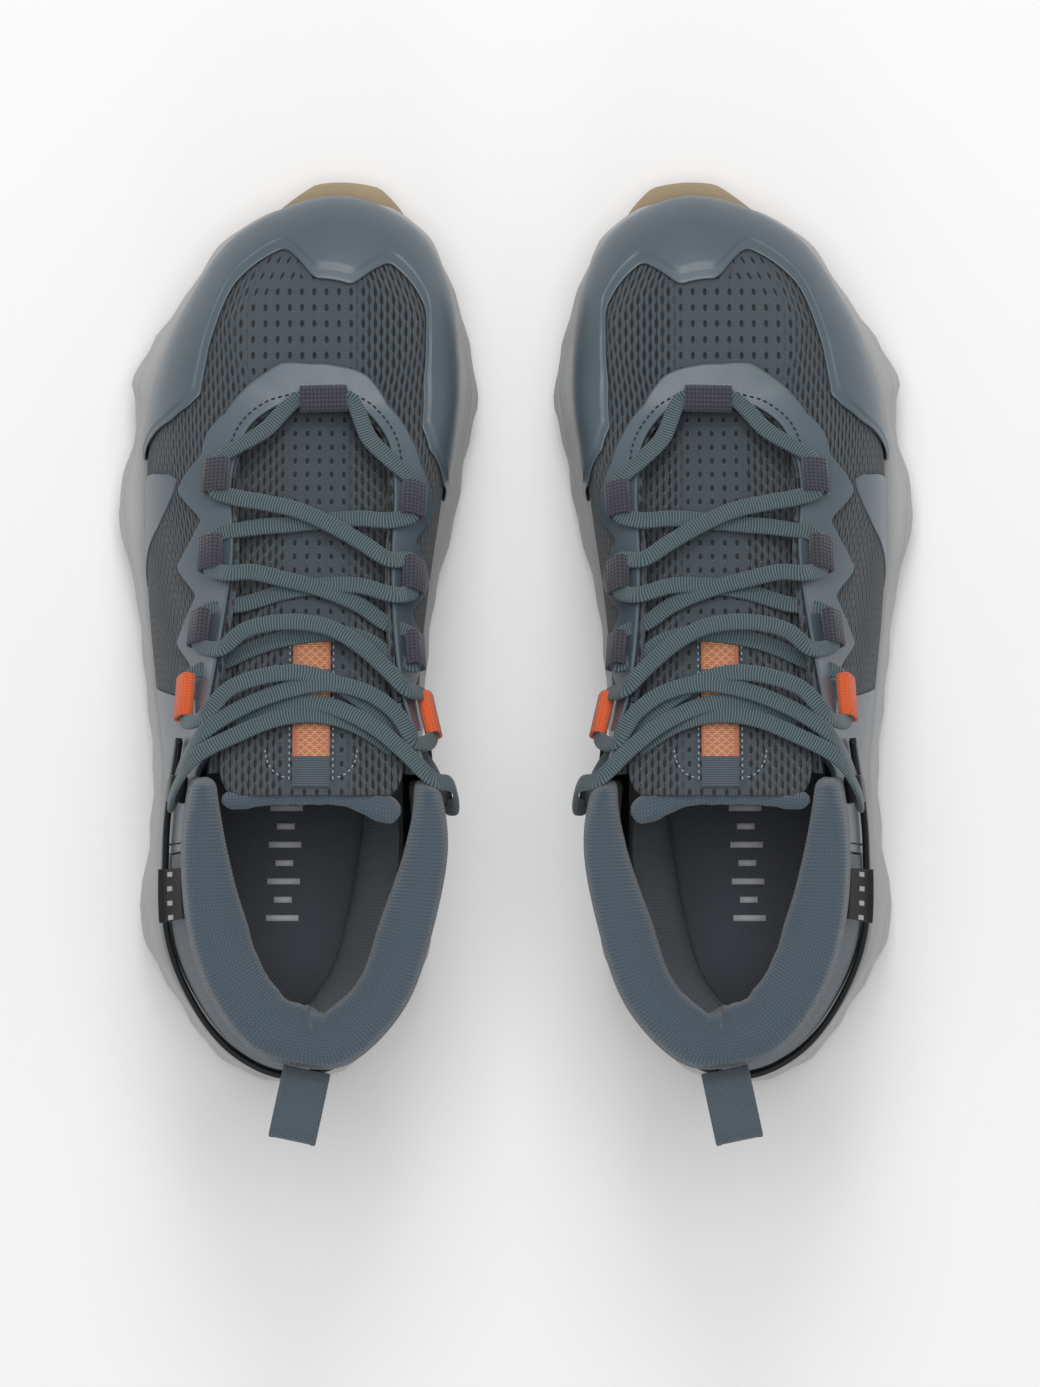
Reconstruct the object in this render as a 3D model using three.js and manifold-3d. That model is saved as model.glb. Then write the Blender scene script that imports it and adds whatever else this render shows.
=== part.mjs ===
// A pair of mid-height hiking boots in millimetres, +Z up, +Y towards the toes.
// The left boot is built in its own frame: x is 0 on the last's line and negative on the lateral side,
// y is 0 at the back of the heel, z is 0 on the floor. The right boot is its mirror image.
import * as THREE from "three";
import * as BufferGeometryUtils from "three/addons/utils/BufferGeometryUtils.js";
import Module from "manifold-3d";

const wasm = await Module();
wasm.setup();

// Overall sizes.
const bootLength = 305;
const bootWidth = 119;
const collarHeight = 141;
const throatFrontHeight = 76;
const pairGap = 27;

// Sole.
const heelStack = 33;
const forefootStack = 25;
const toeRise = 7;
const toeSpring = 16;
const toeSpringStart = 215;
const heelBevel = 6;
const heelBevelLength = 25;
const lugDepth = 4;
const outsolePlate = 3;
const outsoleInset = 2.5;
const toeBumper = 5;

// Upper.
const overlayThickness = 1.2;
const shellThickness = 1.8;
const layerGap = 0.85;
const counterThickness = 1.8;
const boardThickness = 2;
const insoleThickness = 5;
const insoleEdgeGap = 1;
const quarterTop = 0.785;
const collarStart = 0.8;
const liningBottom = 0.42;

// Tongue.
const tongueThicknessFront = 5;
const tongueThicknessTop = 9;
const tongueSag = 7;
const stripWidth = 12.5;
const stripThickness = 0.8;

// Lace and what holds it.
const laceWidth = 5.5;
const laceThickness = 1.8;
const laceClearance = 0.7;
const loopWall = 1;
const loopLength = 12;
const frontLoopLength = 16;
const strapLoopLength = 15;
const hookLength = 9;
const hookWall = 1.5;

// Heel cradle and pull loop.
const cradleThickness = 2.2;
const pullLoopWidth = 16;
const pullLoopLength = 25;
const pullLoopHeight = 13;
const pullLoopGap = 0.5;
const webbingThickness = 1.6;

// Round each boot run matched stations: heel centre, lateral side, toe tip, medial side.
// Each row is the sole's edge x y, the upper's lower edge x y, and the topline or throat edge x y,
// drawn for a boot 305 long and 119 wide, and that edge's height from 0 (throat front) to 1 (collar).
const drawnLength = 305;
const drawnWidth = 119;
const stations = [
  [-12, 0, -11, 4, -3, 9.5, 0.9],
  [-33, 8, -29, 12, -21, 15.5, 0.92],
  [-47, 26, -43, 29, -34, 33, 0.95],
  [-58, 48, -52, 51, -41, 55, 0.98],
  [-58, 78, -53, 80, -43, 82, 1],
  [-56.5, 106, -54, 108, -40, 105, 1],
  [-59, 134, -56.5, 134, -36.5, 130, 0.8],
  [-62, 163, -59, 162, -32, 155, 0.6],
  [-67, 196, -60, 192, -28.5, 180, 0.4],
  [-62, 224, -58, 219, -29, 203, 0.215],
  [-59, 246, -52.5, 243, -24, 220, 0.08],
  [-46, 266, -43, 265, -15, 228, 0.015],
  [-28, 289, -26, 288, -6, 230, 0],
  [5, 300, 5, 300, 2, 230.5, 0],
  [32, 292, 30, 291, 9, 230, 0],
  [45, 270, 42, 272, 17, 226, 0.03],
  [52, 242, 45.5, 247, 24, 216, 0.12],
  [50, 218, 44, 222, 26, 200, 0.25],
  [46, 192, 41, 196, 25.5, 178, 0.415],
  [39, 164, 37, 166, 26.5, 155, 0.6],
  [36, 136, 34, 136, 30, 130, 0.8],
  [35, 106, 32, 106, 37, 104, 1],
  [37, 78, 32, 78, 39, 81, 1],
  [36, 49, 30, 52, 34, 54, 0.98],
  [27, 24, 23, 28, 26, 29, 0.95],
  [9, 5, 8, 11, 12, 11.5, 0.92],
];
const stationCount = stations.length;
const toeStation = 13;

const widthScale = bootWidth / drawnWidth;
const lengthScale = bootLength / drawnLength;

function clamp01(value) {
  return Math.min(1, Math.max(0, value));
}

function smooth(low, high, value) {
  const u = clamp01((value - low) / (high - low));
  return u * u * (3 - 2 * u);
}

function lerp(a, b, u) {
  return a + (b - a) * u;
}

// A closed Catmull-Rom curve through one column of a table, at a station number that may be fractional.
function around(values, k) {
  const count = values.length;
  const base = Math.floor(k);
  const u = k - base;
  const at = (i) => values[(((base + i) % count) + count) % count];
  const [a, b, c, d] = [at(-1), at(0), at(1), at(2)];
  return 0.5 * (2 * b + (c - a) * u + (2 * a - 5 * b + 4 * c - d) * u * u + (3 * b - a - 3 * c + d) * u ** 3);
}

const column = (i) => stations.map((row) => row[i]);
const soleX = column(0);
const soleY = column(1);
const featherX = column(2);
const featherY = column(3);
const topX = column(4);
const topY = column(5);
const topRise = column(6);

// Height of the sole's underside, of the midsole's top, and of the topline.
function floorHeight(y) {
  const toe = Math.max(0, y / lengthScale - toeSpringStart) / (drawnLength - toeSpringStart);
  const heel = Math.max(0, heelBevelLength - y) / heelBevelLength;
  return toeSpring * toe * toe + heelBevel * heel * heel;
}

function featherHeight(y) {
  const u = y / lengthScale;
  return lerp(heelStack, forefootStack, smooth(30, toeSpringStart, u)) + toeRise * smooth(toeSpringStart, 315, u);
}

function solePoint(k) {
  return new THREE.Vector2(around(soleX, k) * widthScale, around(soleY, k) * lengthScale);
}

function featherPoint(k) {
  const y = around(featherY, k) * lengthScale;
  return new THREE.Vector3(around(featherX, k) * widthScale, y, featherHeight(y));
}

function topPoint(k) {
  const z = lerp(throatFrontHeight, collarHeight, around(topRise, k));
  return new THREE.Vector3(around(topX, k) * widthScale, around(topY, k) * lengthScale, z);
}

// The level direction that points out of the boot at a station.
function outward(k) {
  const step = featherPoint(k + 0.3).sub(featherPoint(k - 0.3));
  return new THREE.Vector3(step.y, -step.x, 0).multiplyScalar(-1).normalize();
}

// The upper's outer surface: t runs from 0 at the midsole to 1 at the topline, on a cubic curve that
// rises from the midsole and leans over into the top edge, far over at the toe and hardly at the collar.
function upperPoint(k, t) {
  const low = featherPoint(k);
  const high = topPoint(k);
  const out = outward(k);
  const toe = clamp01((collarHeight - high.z) / (collarHeight - throatFrontHeight));
  const second = low.clone().addScaledVector(out, lerp(3, 6, toe));
  second.z += lerp(0.42, 0.6, toe) * (high.z - low.z);
  const third = high.clone().addScaledVector(out, lerp(2, 26, toe));
  third.z -= lerp(0.37, 0.1, toe) * (high.z - low.z);
  const s = 1 - t;
  return low
    .multiplyScalar(s ** 3)
    .addScaledVector(second, 3 * s * s * t)
    .addScaledVector(third, 3 * s * t * t)
    .addScaledVector(high, t ** 3);
}

// The surface's axes at a point: along the boot's outline, up the surface, and out of it.
function upperFrame(k, t) {
  const low = Math.max(0, t - 0.02);
  const high = Math.min(1, t + 0.02);
  const along = upperPoint(k + 0.1, t).sub(upperPoint(k - 0.1, t)).normalize();
  const up = upperPoint(k, high).sub(upperPoint(k, low)).normalize();
  const out = new THREE.Vector3().crossVectors(up, along).normalize();
  up.crossVectors(along, out).normalize();
  return { origin: upperPoint(k, t), along, up, out };
}

// A point that stands off the surface by a distance, negative towards the foot.
function offsetPoint(k, t, distance) {
  const frame = upperFrame(k, t);
  return frame.origin.addScaledVector(frame.out, distance);
}

// A closed solid through rings of points; the ends are capped unless the rings close on themselves.
function loft(rings, closed = false, capOf = capTriangles) {
  const size = rings[0].length;
  const index = [];
  const spans = closed ? rings.length : rings.length - 1;
  for (let i = 0; i < spans; i++) {
    const next = (i + 1) % rings.length;
    for (let j = 0; j < size; j++) {
      const a = i * size + j;
      const b = i * size + ((j + 1) % size);
      const c = next * size + ((j + 1) % size);
      const d = next * size + j;
      index.push(a, b, c, a, c, d);
    }
  }
  if (!closed) {
    const first = capOf(rings[0]);
    const last = capOf(rings[rings.length - 1]);
    const offset = (rings.length - 1) * size;
    first.forEach(([a, b, c]) => index.push(a, c, b));
    last.forEach(([a, b, c]) => index.push(offset + a, offset + b, offset + c));
  }
  const geometry = new THREE.BufferGeometry();
  const positions = rings.flat().flatMap((point) => [point.x, point.y, point.z]);
  geometry.setAttribute("position", new THREE.Float32BufferAttribute(positions, 3));
  geometry.setIndex(index);
  return faceOut(geometry);
}

// The triangles that close a ring, found in the ring's own plane.
function capTriangles(ring) {
  const normal = new THREE.Vector3();
  ring.forEach((point, i) => normal.add(new THREE.Vector3().crossVectors(point, ring[(i + 1) % ring.length])));
  normal.normalize();
  const u = new THREE.Vector3().subVectors(ring[1], ring[0]);
  u.addScaledVector(normal, -u.dot(normal)).normalize();
  const v = new THREE.Vector3().crossVectors(normal, u);
  return THREE.ShapeUtils.triangulateShape(ring.map((p) => new THREE.Vector2(p.dot(u), p.dot(v))), []);
}

// Closes an outline that runs heel, lateral side, toe, medial side with rungs from side to side.
function rungTriangles(ring) {
  const count = ring.length;
  const triangles = [[0, 1, count - 1]];
  for (let i = 1; i < count / 2 - 1; i++) {
    triangles.push([i, i + 1, count - i], [i + 1, count - i - 1, count - i]);
  }
  triangles.push([count / 2 - 1, count / 2, count / 2 + 1]);
  return triangles;
}

function outlineLoft(rings) {
  return loft(rings, false, rungTriangles);
}

function faceOut(geometry) {
  const position = geometry.getAttribute("position");
  const index = geometry.getIndex().array;
  const corners = [new THREE.Vector3(), new THREE.Vector3(), new THREE.Vector3()];
  let volume = 0;
  for (let i = 0; i < index.length; i += 3) {
    corners.forEach((corner, j) => corner.fromBufferAttribute(position, index[i + j]));
    volume += corners[0].dot(new THREE.Vector3().crossVectors(corners[1], corners[2]));
  }
  if (volume < 0) {
    for (let i = 0; i < index.length; i += 3) {
      [index[i + 1], index[i + 2]] = [index[i + 2], index[i + 1]];
    }
  }
  return geometry;
}

function toManifold(geometry) {
  let bare = geometry.clone();
  bare.deleteAttribute("normal");
  bare.deleteAttribute("uv");
  bare = BufferGeometryUtils.mergeVertices(bare, 1e-4);
  const mesh = new wasm.Mesh({
    numProp: 3,
    vertProperties: new Float32Array(bare.getAttribute("position").array),
    triVerts: new Uint32Array(bare.getIndex().array),
  });
  return new wasm.Manifold(mesh);
}

function fromManifold(solid) {
  const mesh = solid.getMesh();
  const geometry = new THREE.BufferGeometry();
  geometry.setAttribute("position", new THREE.Float32BufferAttribute(Array.from(mesh.vertProperties), 3));
  geometry.setIndex(Array.from(mesh.triVerts));
  return geometry;
}

// A larger boot takes more steps, so that its flat facets keep within the gaps between the layers.
const facetScale = Math.max(1, widthScale, lengthScale);
const roundOff = 1e-6;

function facets(count) {
  return Math.max(1, Math.ceil(count * facetScale - roundOff));
}

// Station numbers from one end to the other, at most a step apart.
function steps(from, to, step) {
  const count = facets((to - from) / step);
  return Array.from({ length: count + 1 }, (_, i) => lerp(from, to, i / count));
}

// Station numbers once round the boot, as many on each side.
function stationsRound(step) {
  const half = facets(stationCount / (2 * step));
  return Array.from({ length: 2 * half }, (_, i) => (stationCount * i) / (2 * half));
}

// The stations of an edge table with steps between them no longer than the one given.
function tableSteps(table, step) {
  const stops = table.map(([station]) => station);
  return stops.flatMap((k, i) => (i === 0 ? [k] : steps(stops[i - 1], k, step).slice(1)));
}

// A panel of the upper over a list of stations, from tLow(k) to tHigh(k), between two offsets.
function panel({ at, rows, tLow, tHigh, inner, outer, split = 1 }) {
  const count = facets(rows) * split;
  const rings = at.map((k) => {
    const rowPoint = (i, offset) => offsetPoint(k, lerp(tLow(k), tHigh(k), i / count), offset);
    const front = Array.from({ length: count + 1 }, (_, i) => rowPoint(i, outer));
    const back = Array.from({ length: count + 1 }, (_, i) => rowPoint(count - i, inner));
    return [...front, ...back];
  });
  return loft(rings);
}

// A value read from a table of [station, value] pairs, on a straight line between them.
function valueAt(table, k) {
  const after = table.findIndex(([station]) => station >= k);
  if (after === 0) {
    return table[0][1];
  }
  if (after < 0) {
    return table[table.length - 1][1];
  }
  const [[k0, v0], [k1, v1]] = [table[after - 1], table[after]];
  return lerp(v0, v1, (k - k0) / (k1 - k0));
}

// Offsets of the layers, counted from the upper's outer surface.
const shellOuter = -(overlayThickness + layerGap);
const shellInner = shellOuter - shellThickness;
const counterOuter = shellInner - layerGap;
const counterInner = counterOuter - counterThickness;
const edgeStart = 0.002;

// Where the panels meet.
const quarterSeamLateral = 3.9;
const quarterSeamMedial = 22.1;
const vampEndLateral = 6;
const vampEndMedial = 20;
const seamGap = 0.02;
const collarFrontLateral = 4.95;
const collarFrontMedial = stationCount - collarFrontLateral;

// The shell stops under the collar and climbs to the throat edge in front of it.
const shellClimbStart = collarFrontLateral + 0.25;
const shellClimb = 0.4;

function shellTop(k) {
  const turn = k > toeStation ? stationCount - k : k;
  return lerp(quarterTop, 1, clamp01((turn - shellClimbStart) / shellClimb));
}

// The shell panels share their rows, so that their edges meet along the seams; a curved one splits each.
const shellRows = 6;

function shellPanel(from, to, split = 1) {
  const at = steps(from, to, 0.5);
  return panel({
    at, rows: shellRows, split, tLow: () => edgeStart, tHigh: shellTop, inner: shellInner, outer: shellOuter,
  });
}

// The toe cap's rear edge: two peaks on the vamp with a dip between them, and a wing down each side.
const toeCapEdge = [
  [8.7, 0.1], [9.02, 0.29], [9.54, 0.54], [9.94, 0.65], [10.26, 0.69], [10.66, 0.63], [11.04, 0.56],
  [11.36, 0.51], [11.8, 0.43], [12.2, 0.4], [12.5, 0.39], [12.84, 0.55], [13.34, 0.57], [13.56, 0.5],
  [13.8, 0.43], [14.2, 0.45], [14.56, 0.48], [14.76, 0.57], [15.18, 0.7], [15.84, 0.8], [16.38, 0.76],
  [17.3, 0.53], [17.9, 0.2],
];

function toeCap() {
  return panel({
    at: tableSteps(toeCapEdge, 0.5), rows: 9, tLow: () => edgeStart, tHigh: (k) => valueAt(toeCapEdge, k),
    inner: -overlayThickness, outer: 0,
  });
}

// The eyestay's outer edge: an arch in front of the throat and a lobe beside each lace loop.
const eyestayEdge = [
  [5.6, 0.86], [6.2, 0.8], [6.45, 0.74], [6.68, 0.6], [7.36, 0.76], [7.62, 0.6], [8.36, 0.8],
  [8.62, 0.64], [9.3, 0.81], [9.66, 0.81], [10.2, 0.86], [11.5, 0.83], [12.06, 0.82], [12.7, 0.85],
  [13.34, 0.86], [14.12, 0.86], [14.98, 0.9], [15.96, 0.88], [16.56, 0.83], [17.56, 0.66], [17.78, 0.83],
  [18.6, 0.57], [18.84, 0.83], [19.58, 0.55], [19.84, 0.8], [20.4, 0.86],
];

function eyestay() {
  return panel({
    at: tableSteps(eyestayEdge, 0.5), rows: 4, tLow: (k) => valueAt(eyestayEdge, k), tHigh: () => 0.995,
    inner: -overlayThickness, outer: 0,
  });
}

// The collar's thickness: fullest at the heel and thin at both front ends.
const collarWidths = [
  [20, 5], [21, 6], [22, 9], [23, 10], [24, 12], [25, 15], [26, 17], [27, 16], [28, 15], [29, 13.5],
  [30, 10.5], [31, 6],
];
const collarRise = 6;
const collarSwell = 1.2;

// The collar rolls over the topline and runs down inside the quarters as their padded lining.
function collar() {
  const front = collarFrontMedial;
  const back = collarFrontLateral + stationCount;
  const rings = steps(front, back, 0.5).map((k) => {
    const width = valueAt(collarWidths, k);
    const top = topPoint(k);
    const out = outward(k);
    const over = (reach, rise) => top.clone().addScaledVector(out, reach).add(new THREE.Vector3(0, 0, rise));
    return [
      offsetPoint(k, collarStart, shellOuter),
      offsetPoint(k, 0.87, collarSwell / 2),
      over(collarSwell, -2),
      over(0.2, 0.55 * collarRise),
      over(-0.35 * width, collarRise),
      over(-0.75 * width, 0.7 * collarRise),
      over(-width, -2),
      offsetPoint(k, 0.82, -width),
      offsetPoint(k, 0.6, -Math.max(0.8 * width, -counterInner)),
      offsetPoint(k, liningBottom, counterInner),
      offsetPoint(k, liningBottom, counterOuter),
      offsetPoint(k, 0.6, counterOuter),
      offsetPoint(k, collarStart, counterOuter),
    ];
  });
  return loft(rings);
}

function heelCounter() {
  return panel({
    at: steps(quarterSeamMedial + 0.6, quarterSeamLateral + stationCount - 0.6, 0.5), rows: 4,
    tLow: () => edgeStart + 0.02,
    tHigh: () => liningBottom - 0.02, inner: counterInner, outer: counterOuter,
  });
}

// A flat outline inside the upper's lower edge, with its height taken from the midsole's top.
function innerOutline(inset, rise) {
  return stationsRound(0.65).map((k) => {
    const point = featherPoint(k).addScaledVector(outward(k), -inset);
    point.z = featherHeight(point.y) + rise;
    return point;
  });
}

const solidInset = -counterInner + insoleEdgeGap;

function lastingBoard() {
  const base = layerGap / 2;
  return outlineLoft([innerOutline(solidInset, base), innerOutline(solidInset, base + boardThickness)]);
}

function insole() {
  const base = 1.5 * layerGap + boardThickness;
  const rings = [
    innerOutline(solidInset, base),
    innerOutline(solidInset, base + 0.7 * insoleThickness),
    innerOutline(solidInset + 2, base + insoleThickness),
  ];
  return outlineLoft(rings);
}

// Lobes stand out of the midsole's side: [station, how far out, half width in stations].
const midsoleLobes = [
  [3.4, 2.5, 0.7], [7.9, 1.5, 0.8], [9.7, 3, 0.6], [16.2, 1.5, 0.7], [23.2, 2, 0.8],
];

function lobe(k) {
  return midsoleLobes.reduce((sum, [centre, height, half]) => {
    return sum + height * Math.max(0, 1 - Math.abs(k - centre) / half);
  }, 0);
}

function soleOut(k) {
  const step = solePoint(k + 0.3).sub(solePoint(k - 0.3));
  return new THREE.Vector2(-step.y, step.x).normalize();
}

function soleRing(inset, height, lobes = 0) {
  return stationsRound(0.5).map((k) => {
    const point = solePoint(k).addScaledVector(soleOut(k), lobes * lobe(k) - inset(k));
    return new THREE.Vector3(point.x, point.y, height(point.y));
  });
}

const plateTop = lugDepth + outsolePlate;

function midsole() {
  const bottom = (y) => floorHeight(y) + plateTop + layerGap;
  const top = (y) => featherHeight(y) - layerGap / 2;
  const level = (u) => (y) => lerp(bottom(y), top(y), u);
  return outlineLoft([
    soleRing(() => 5, level(0)),
    soleRing(() => 1.2, level(0.22), 0.9),
    soleRing(() => 0, level(0.5), 1),
    soleRing(() => 1.5, level(0.82), 0.4),
    soleRing(() => 3, level(1)),
  ]);
}

// The outsole lies inside the midsole's edge, but stands out at the toe as a bumper.
function outsoleInsetAt(k) {
  return lerp(-toeBumper, outsoleInset + 3, smooth(0.6, 2.2, Math.abs(k - toeStation)));
}

// Lugs in rows from heel to toe, four in a row, which slant back towards the sole's middle.
const lugRows = [24, 46, 68, 92, 140, 166, 190, 214, 238];
const lugLength = 12;
const lugSlant = 2.4;
const lugEdgeInset = 7;
const lugsPerRow = 4;
const lugSideGap = 1.2;
const lugRoot = 1;

function lug(x, y, halfWidth, slant) {
  const shape = new THREE.Shape();
  shape.moveTo(x - halfWidth, y - lugLength / 2 - slant);
  shape.lineTo(x + halfWidth, y - lugLength / 2 + slant);
  shape.lineTo(x + halfWidth, y + lugLength / 2 + slant);
  shape.lineTo(x - halfWidth, y + lugLength / 2 - slant);
  const geometry = new THREE.ExtrudeGeometry(shape, { depth: lugDepth + lugRoot, bevelEnabled: false });
  geometry.translate(0, 0, floorHeight(y));
  return geometry;
}

// The sole's edge at a height along the boot, found by walking the lateral or the medial side.
function soleEdgeX(y, side) {
  const [from, to] = side < 0 ? [0.5, toeStation - 0.5] : [toeStation + 0.5, stationCount - 0.5];
  let best = solePoint(from);
  for (const k of steps(from, to, 0.05)) {
    const point = solePoint(k);
    if (Math.abs(point.y - y) < Math.abs(best.y - y)) {
      best = point;
    }
  }
  return best.x;
}

function outsole() {
  const plate = outlineLoft([
    soleRing(outsoleInsetAt, (y) => floorHeight(y) + lugDepth),
    soleRing((k) => outsoleInsetAt(k) - 0.5, (y) => floorHeight(y) + plateTop),
  ]);
  let solid = toManifold(plate);
  for (const row of lugRows) {
    const y = row * lengthScale;
    const low = soleEdgeX(y, -1) + lugEdgeInset;
    const high = soleEdgeX(y, 1) - lugEdgeInset;
    const width = (high - low) / lugsPerRow;
    for (let i = 0; i < lugsPerRow; i++) {
      const slant = i < lugsPerRow / 2 ? lugSlant : -lugSlant;
      solid = solid.add(toManifold(lug(low + (i + 0.5) * width, y, width / 2 - lugSideGap, slant)));
    }
  }
  return fromManifold(solid);
}

// The tongue's middle surface: v runs from the throat's front to the top, u from edge to edge.
const drawnCollarHeight = 141;
const drawnThroatHeight = 76;
const tongueFront = new THREE.Vector3(0, 238, 61);
const tongueTop = new THREE.Vector3(0, 96, 150);

// Half the tongue's width along it: it keeps inside the throat's edges, then widens to its top.
const tongueHalfWidths = [
  [0, 21], [0.3, 25], [0.58, 24], [0.76, 26], [0.9, 28.5], [1, 28.5],
];
const tongueMiddle = -1.5;

function tongueHalfWidth(v) {
  return valueAt(tongueHalfWidths, v) * widthScale;
}

function tongueThickness(v) {
  return lerp(tongueThicknessFront, tongueThicknessTop, smooth(0.75, 0.95, v));
}

function tonguePoint(u, v, rise) {
  const y = lerp(tongueFront.y, tongueTop.y, v) * lengthScale;
  const climb = (collarHeight - throatFrontHeight) / (drawnCollarHeight - drawnThroatHeight);
  const z = throatFrontHeight + (lerp(tongueFront.z, tongueTop.z, v) - drawnThroatHeight) * climb;
  const sag = tongueSag * u * u;
  return new THREE.Vector3(tongueMiddle * widthScale + u * tongueHalfWidth(v), y, z - sag + rise);
}

function tongue() {
  const columns = 8;
  const rings = steps(0, 1, 0.085).map((v) => {
    const half = tongueThickness(v) / 2;
    const ring = [];
    for (let i = 0; i <= columns; i++) {
      ring.push(tonguePoint(lerp(-1, 1, i / columns), v, half * (i % columns === 0 ? 0.3 : 1)));
    }
    for (let i = columns; i >= 0; i--) {
      ring.push(tonguePoint(lerp(-1, 1, i / columns), v, -half * (i % columns === 0 ? 0.3 : 1)));
    }
    return ring;
  });
  return loft(rings);
}

function tongueStrip() {
  const rings = steps(0.62, 0.97, 0.0875).map((v) => {
    const half = stripWidth / 2;
    const low = tongueThickness(v) / 2 + layerGap;
    const high = low + stripThickness;
    return [[-half, low], [half, low], [half, high], [-half, high]].map(([x, rise]) => {
      const point = tonguePoint(0, v, rise);
      point.x += x;
      return point;
    });
  });
  return loft(rings);
}

// A webbing tunnel on the upper, closed all round the lace, with its axis along the boot's outline.
const tunnelHeight = laceThickness + 2 * laceClearance;
const tunnelWidth = laceWidth + 2 * laceClearance;

function laceLoop({ k, t, length, seat }) {
  const frame = upperFrame(k, t);
  const axis = frame.along;
  const across = frame.up;
  const base = frame.origin.clone().addScaledVector(frame.out, seat);
  const ringAt = (half, low, high, shift) => [
    [-half, low], [half, low], [half, high], [-half, high],
  ].map(([x, z]) => {
    return base.clone().addScaledVector(across, x).addScaledVector(frame.out, z).addScaledVector(axis, shift);
  });
  const outer = tunnelWidth / 2 + loopWall;
  const top = tunnelHeight + 2 * loopWall;
  const body = loft([ringAt(outer, 0, top, -length / 2), ringAt(outer, 0, top, length / 2)]);
  const reach = length / 2 + 1;
  const hole = loft([
    ringAt(tunnelWidth / 2, loopWall, loopWall + tunnelHeight, -reach),
    ringAt(tunnelWidth / 2, loopWall, loopWall + tunnelHeight, reach),
  ]);
  return {
    geometry: fromManifold(toManifold(body).subtract(toManifold(hole))),
    centre: base.clone().addScaledVector(frame.out, loopWall + tunnelHeight / 2),
    axis,
    out: frame.out,
  };
}

// A top hook: a plate on the quarter whose upper edge turns out and down over the lace.
function topHook({ k, t, seat }) {
  const frame = upperFrame(k, t);
  const base = frame.origin.clone().addScaledVector(frame.out, seat);
  const half = tunnelWidth / 2 + hookWall;
  const depth = tunnelHeight + 2 * hookWall;
  const lip = -0.55 * half;
  const outline = [
    [-half - 4, 0], [half, 0], [half, depth], [lip, depth], [lip, depth - hookWall],
    [half - hookWall, depth - hookWall], [half - hookWall, hookWall], [-half - 4, hookWall],
  ];
  const rings = [-hookLength / 2, hookLength / 2].map((shift) => {
    return outline.map(([x, z]) => {
      return base.clone().addScaledVector(frame.up, x).addScaledVector(frame.out, z).addScaledVector(frame.along, shift);
    });
  });
  return {
    geometry: loft(rings),
    centre: base.clone().addScaledVector(frame.out, hookWall + tunnelHeight / 2),
    axis: frame.along.clone(),
    out: frame.out,
  };
}

const loopSeat = layerGap;
const bareSeat = shellOuter + layerGap;
const laceLoops = {
  lace_loop_lateral_1: { k: 9, t: 0.93, length: loopLength, seat: loopSeat },
  lace_loop_lateral_2: { k: 7.95, t: 0.9, length: loopLength, seat: loopSeat },
  lace_loop_lateral_3: { k: 6.95, t: 0.9, length: loopLength, seat: loopSeat },
  lace_loop_medial_1: { k: 17.15, t: 0.9, length: loopLength, seat: loopSeat },
  lace_loop_medial_2: { k: 18.35, t: 0.9, length: loopLength, seat: loopSeat },
  lace_loop_medial_3: { k: 19.32, t: 0.9, length: loopLength, seat: loopSeat },
};
const strapLoops = {
  heel_strap_loop_lateral: { k: 5.95, t: 0.83, length: strapLoopLength, seat: loopSeat },
  heel_strap_loop_medial: { k: 20.2, t: 0.83, length: strapLoopLength, seat: loopSeat },
};
const frontLoop = { k: toeStation, t: 0.93, length: frontLoopLength, seat: loopSeat };
const topHooks = {
  top_hook_lateral: { k: 4.75, t: 0.7, seat: bareSeat },
  top_hook_medial: { k: 21.25, t: 0.7, seat: bareSeat },
};

// The rows of lace up the throat, in order from the front loop for one half of the lace; the other
// half takes the opposite loop each time. A row that starts on the lateral side lies on top.
const rowHolders = [
  (side) => `lace_loop_${side}_1`,
  (side) => `lace_loop_${side}_2`,
  (side) => `lace_loop_${side}_3`,
  (side) => `heel_strap_loop_${side}`,
  (side) => `top_hook_${side}`,
];
const rowLengths = [loopLength, loopLength, loopLength, strapLoopLength, loopLength];
const loopMargin = 0.6;
const tongueNormal = new THREE.Vector3(0, 0.47, 0.88);
const laceOverLift = 2.8;
const laceEdgeLift = 4.2;
const laceRest = 1.2;

// Where the row crosses the throat's edge: stations before and after each loop, towards the heel.
const edgeStations = {
  lateral: [[9.5, 8.55], [8.45, 7.5], [7.45, 6.55], [6.5, 5.6], [5.62]],
  medial: [[16.65, 17.6], [17.8, 18.75], [18.85, 19.7], [19.68, 20.6], [20.38]],
};

// From behind a top hook the lace turns up over the collar and back to the tongue: station, t, offset.
const hookReturn = {
  lateral: [[4.58, 0.83, 5.4], [5, 0.93, 5.4], [5.45, 0.98, 5.6]],
  medial: [[21.42, 0.83, 5.4], [21, 0.93, 5.4], [20.55, 0.98, 5.6]],
};

// The two lace ends run across the tongue to the far hook and tuck in behind it.
const laceEnds = {
  lateral: [[-24, 119], [-4, 125.5], [14, 120.5], [27, 112]],
  medial: [[22, 114], [4, 121], [-14, 117], [-27, 110]],
};

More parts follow.
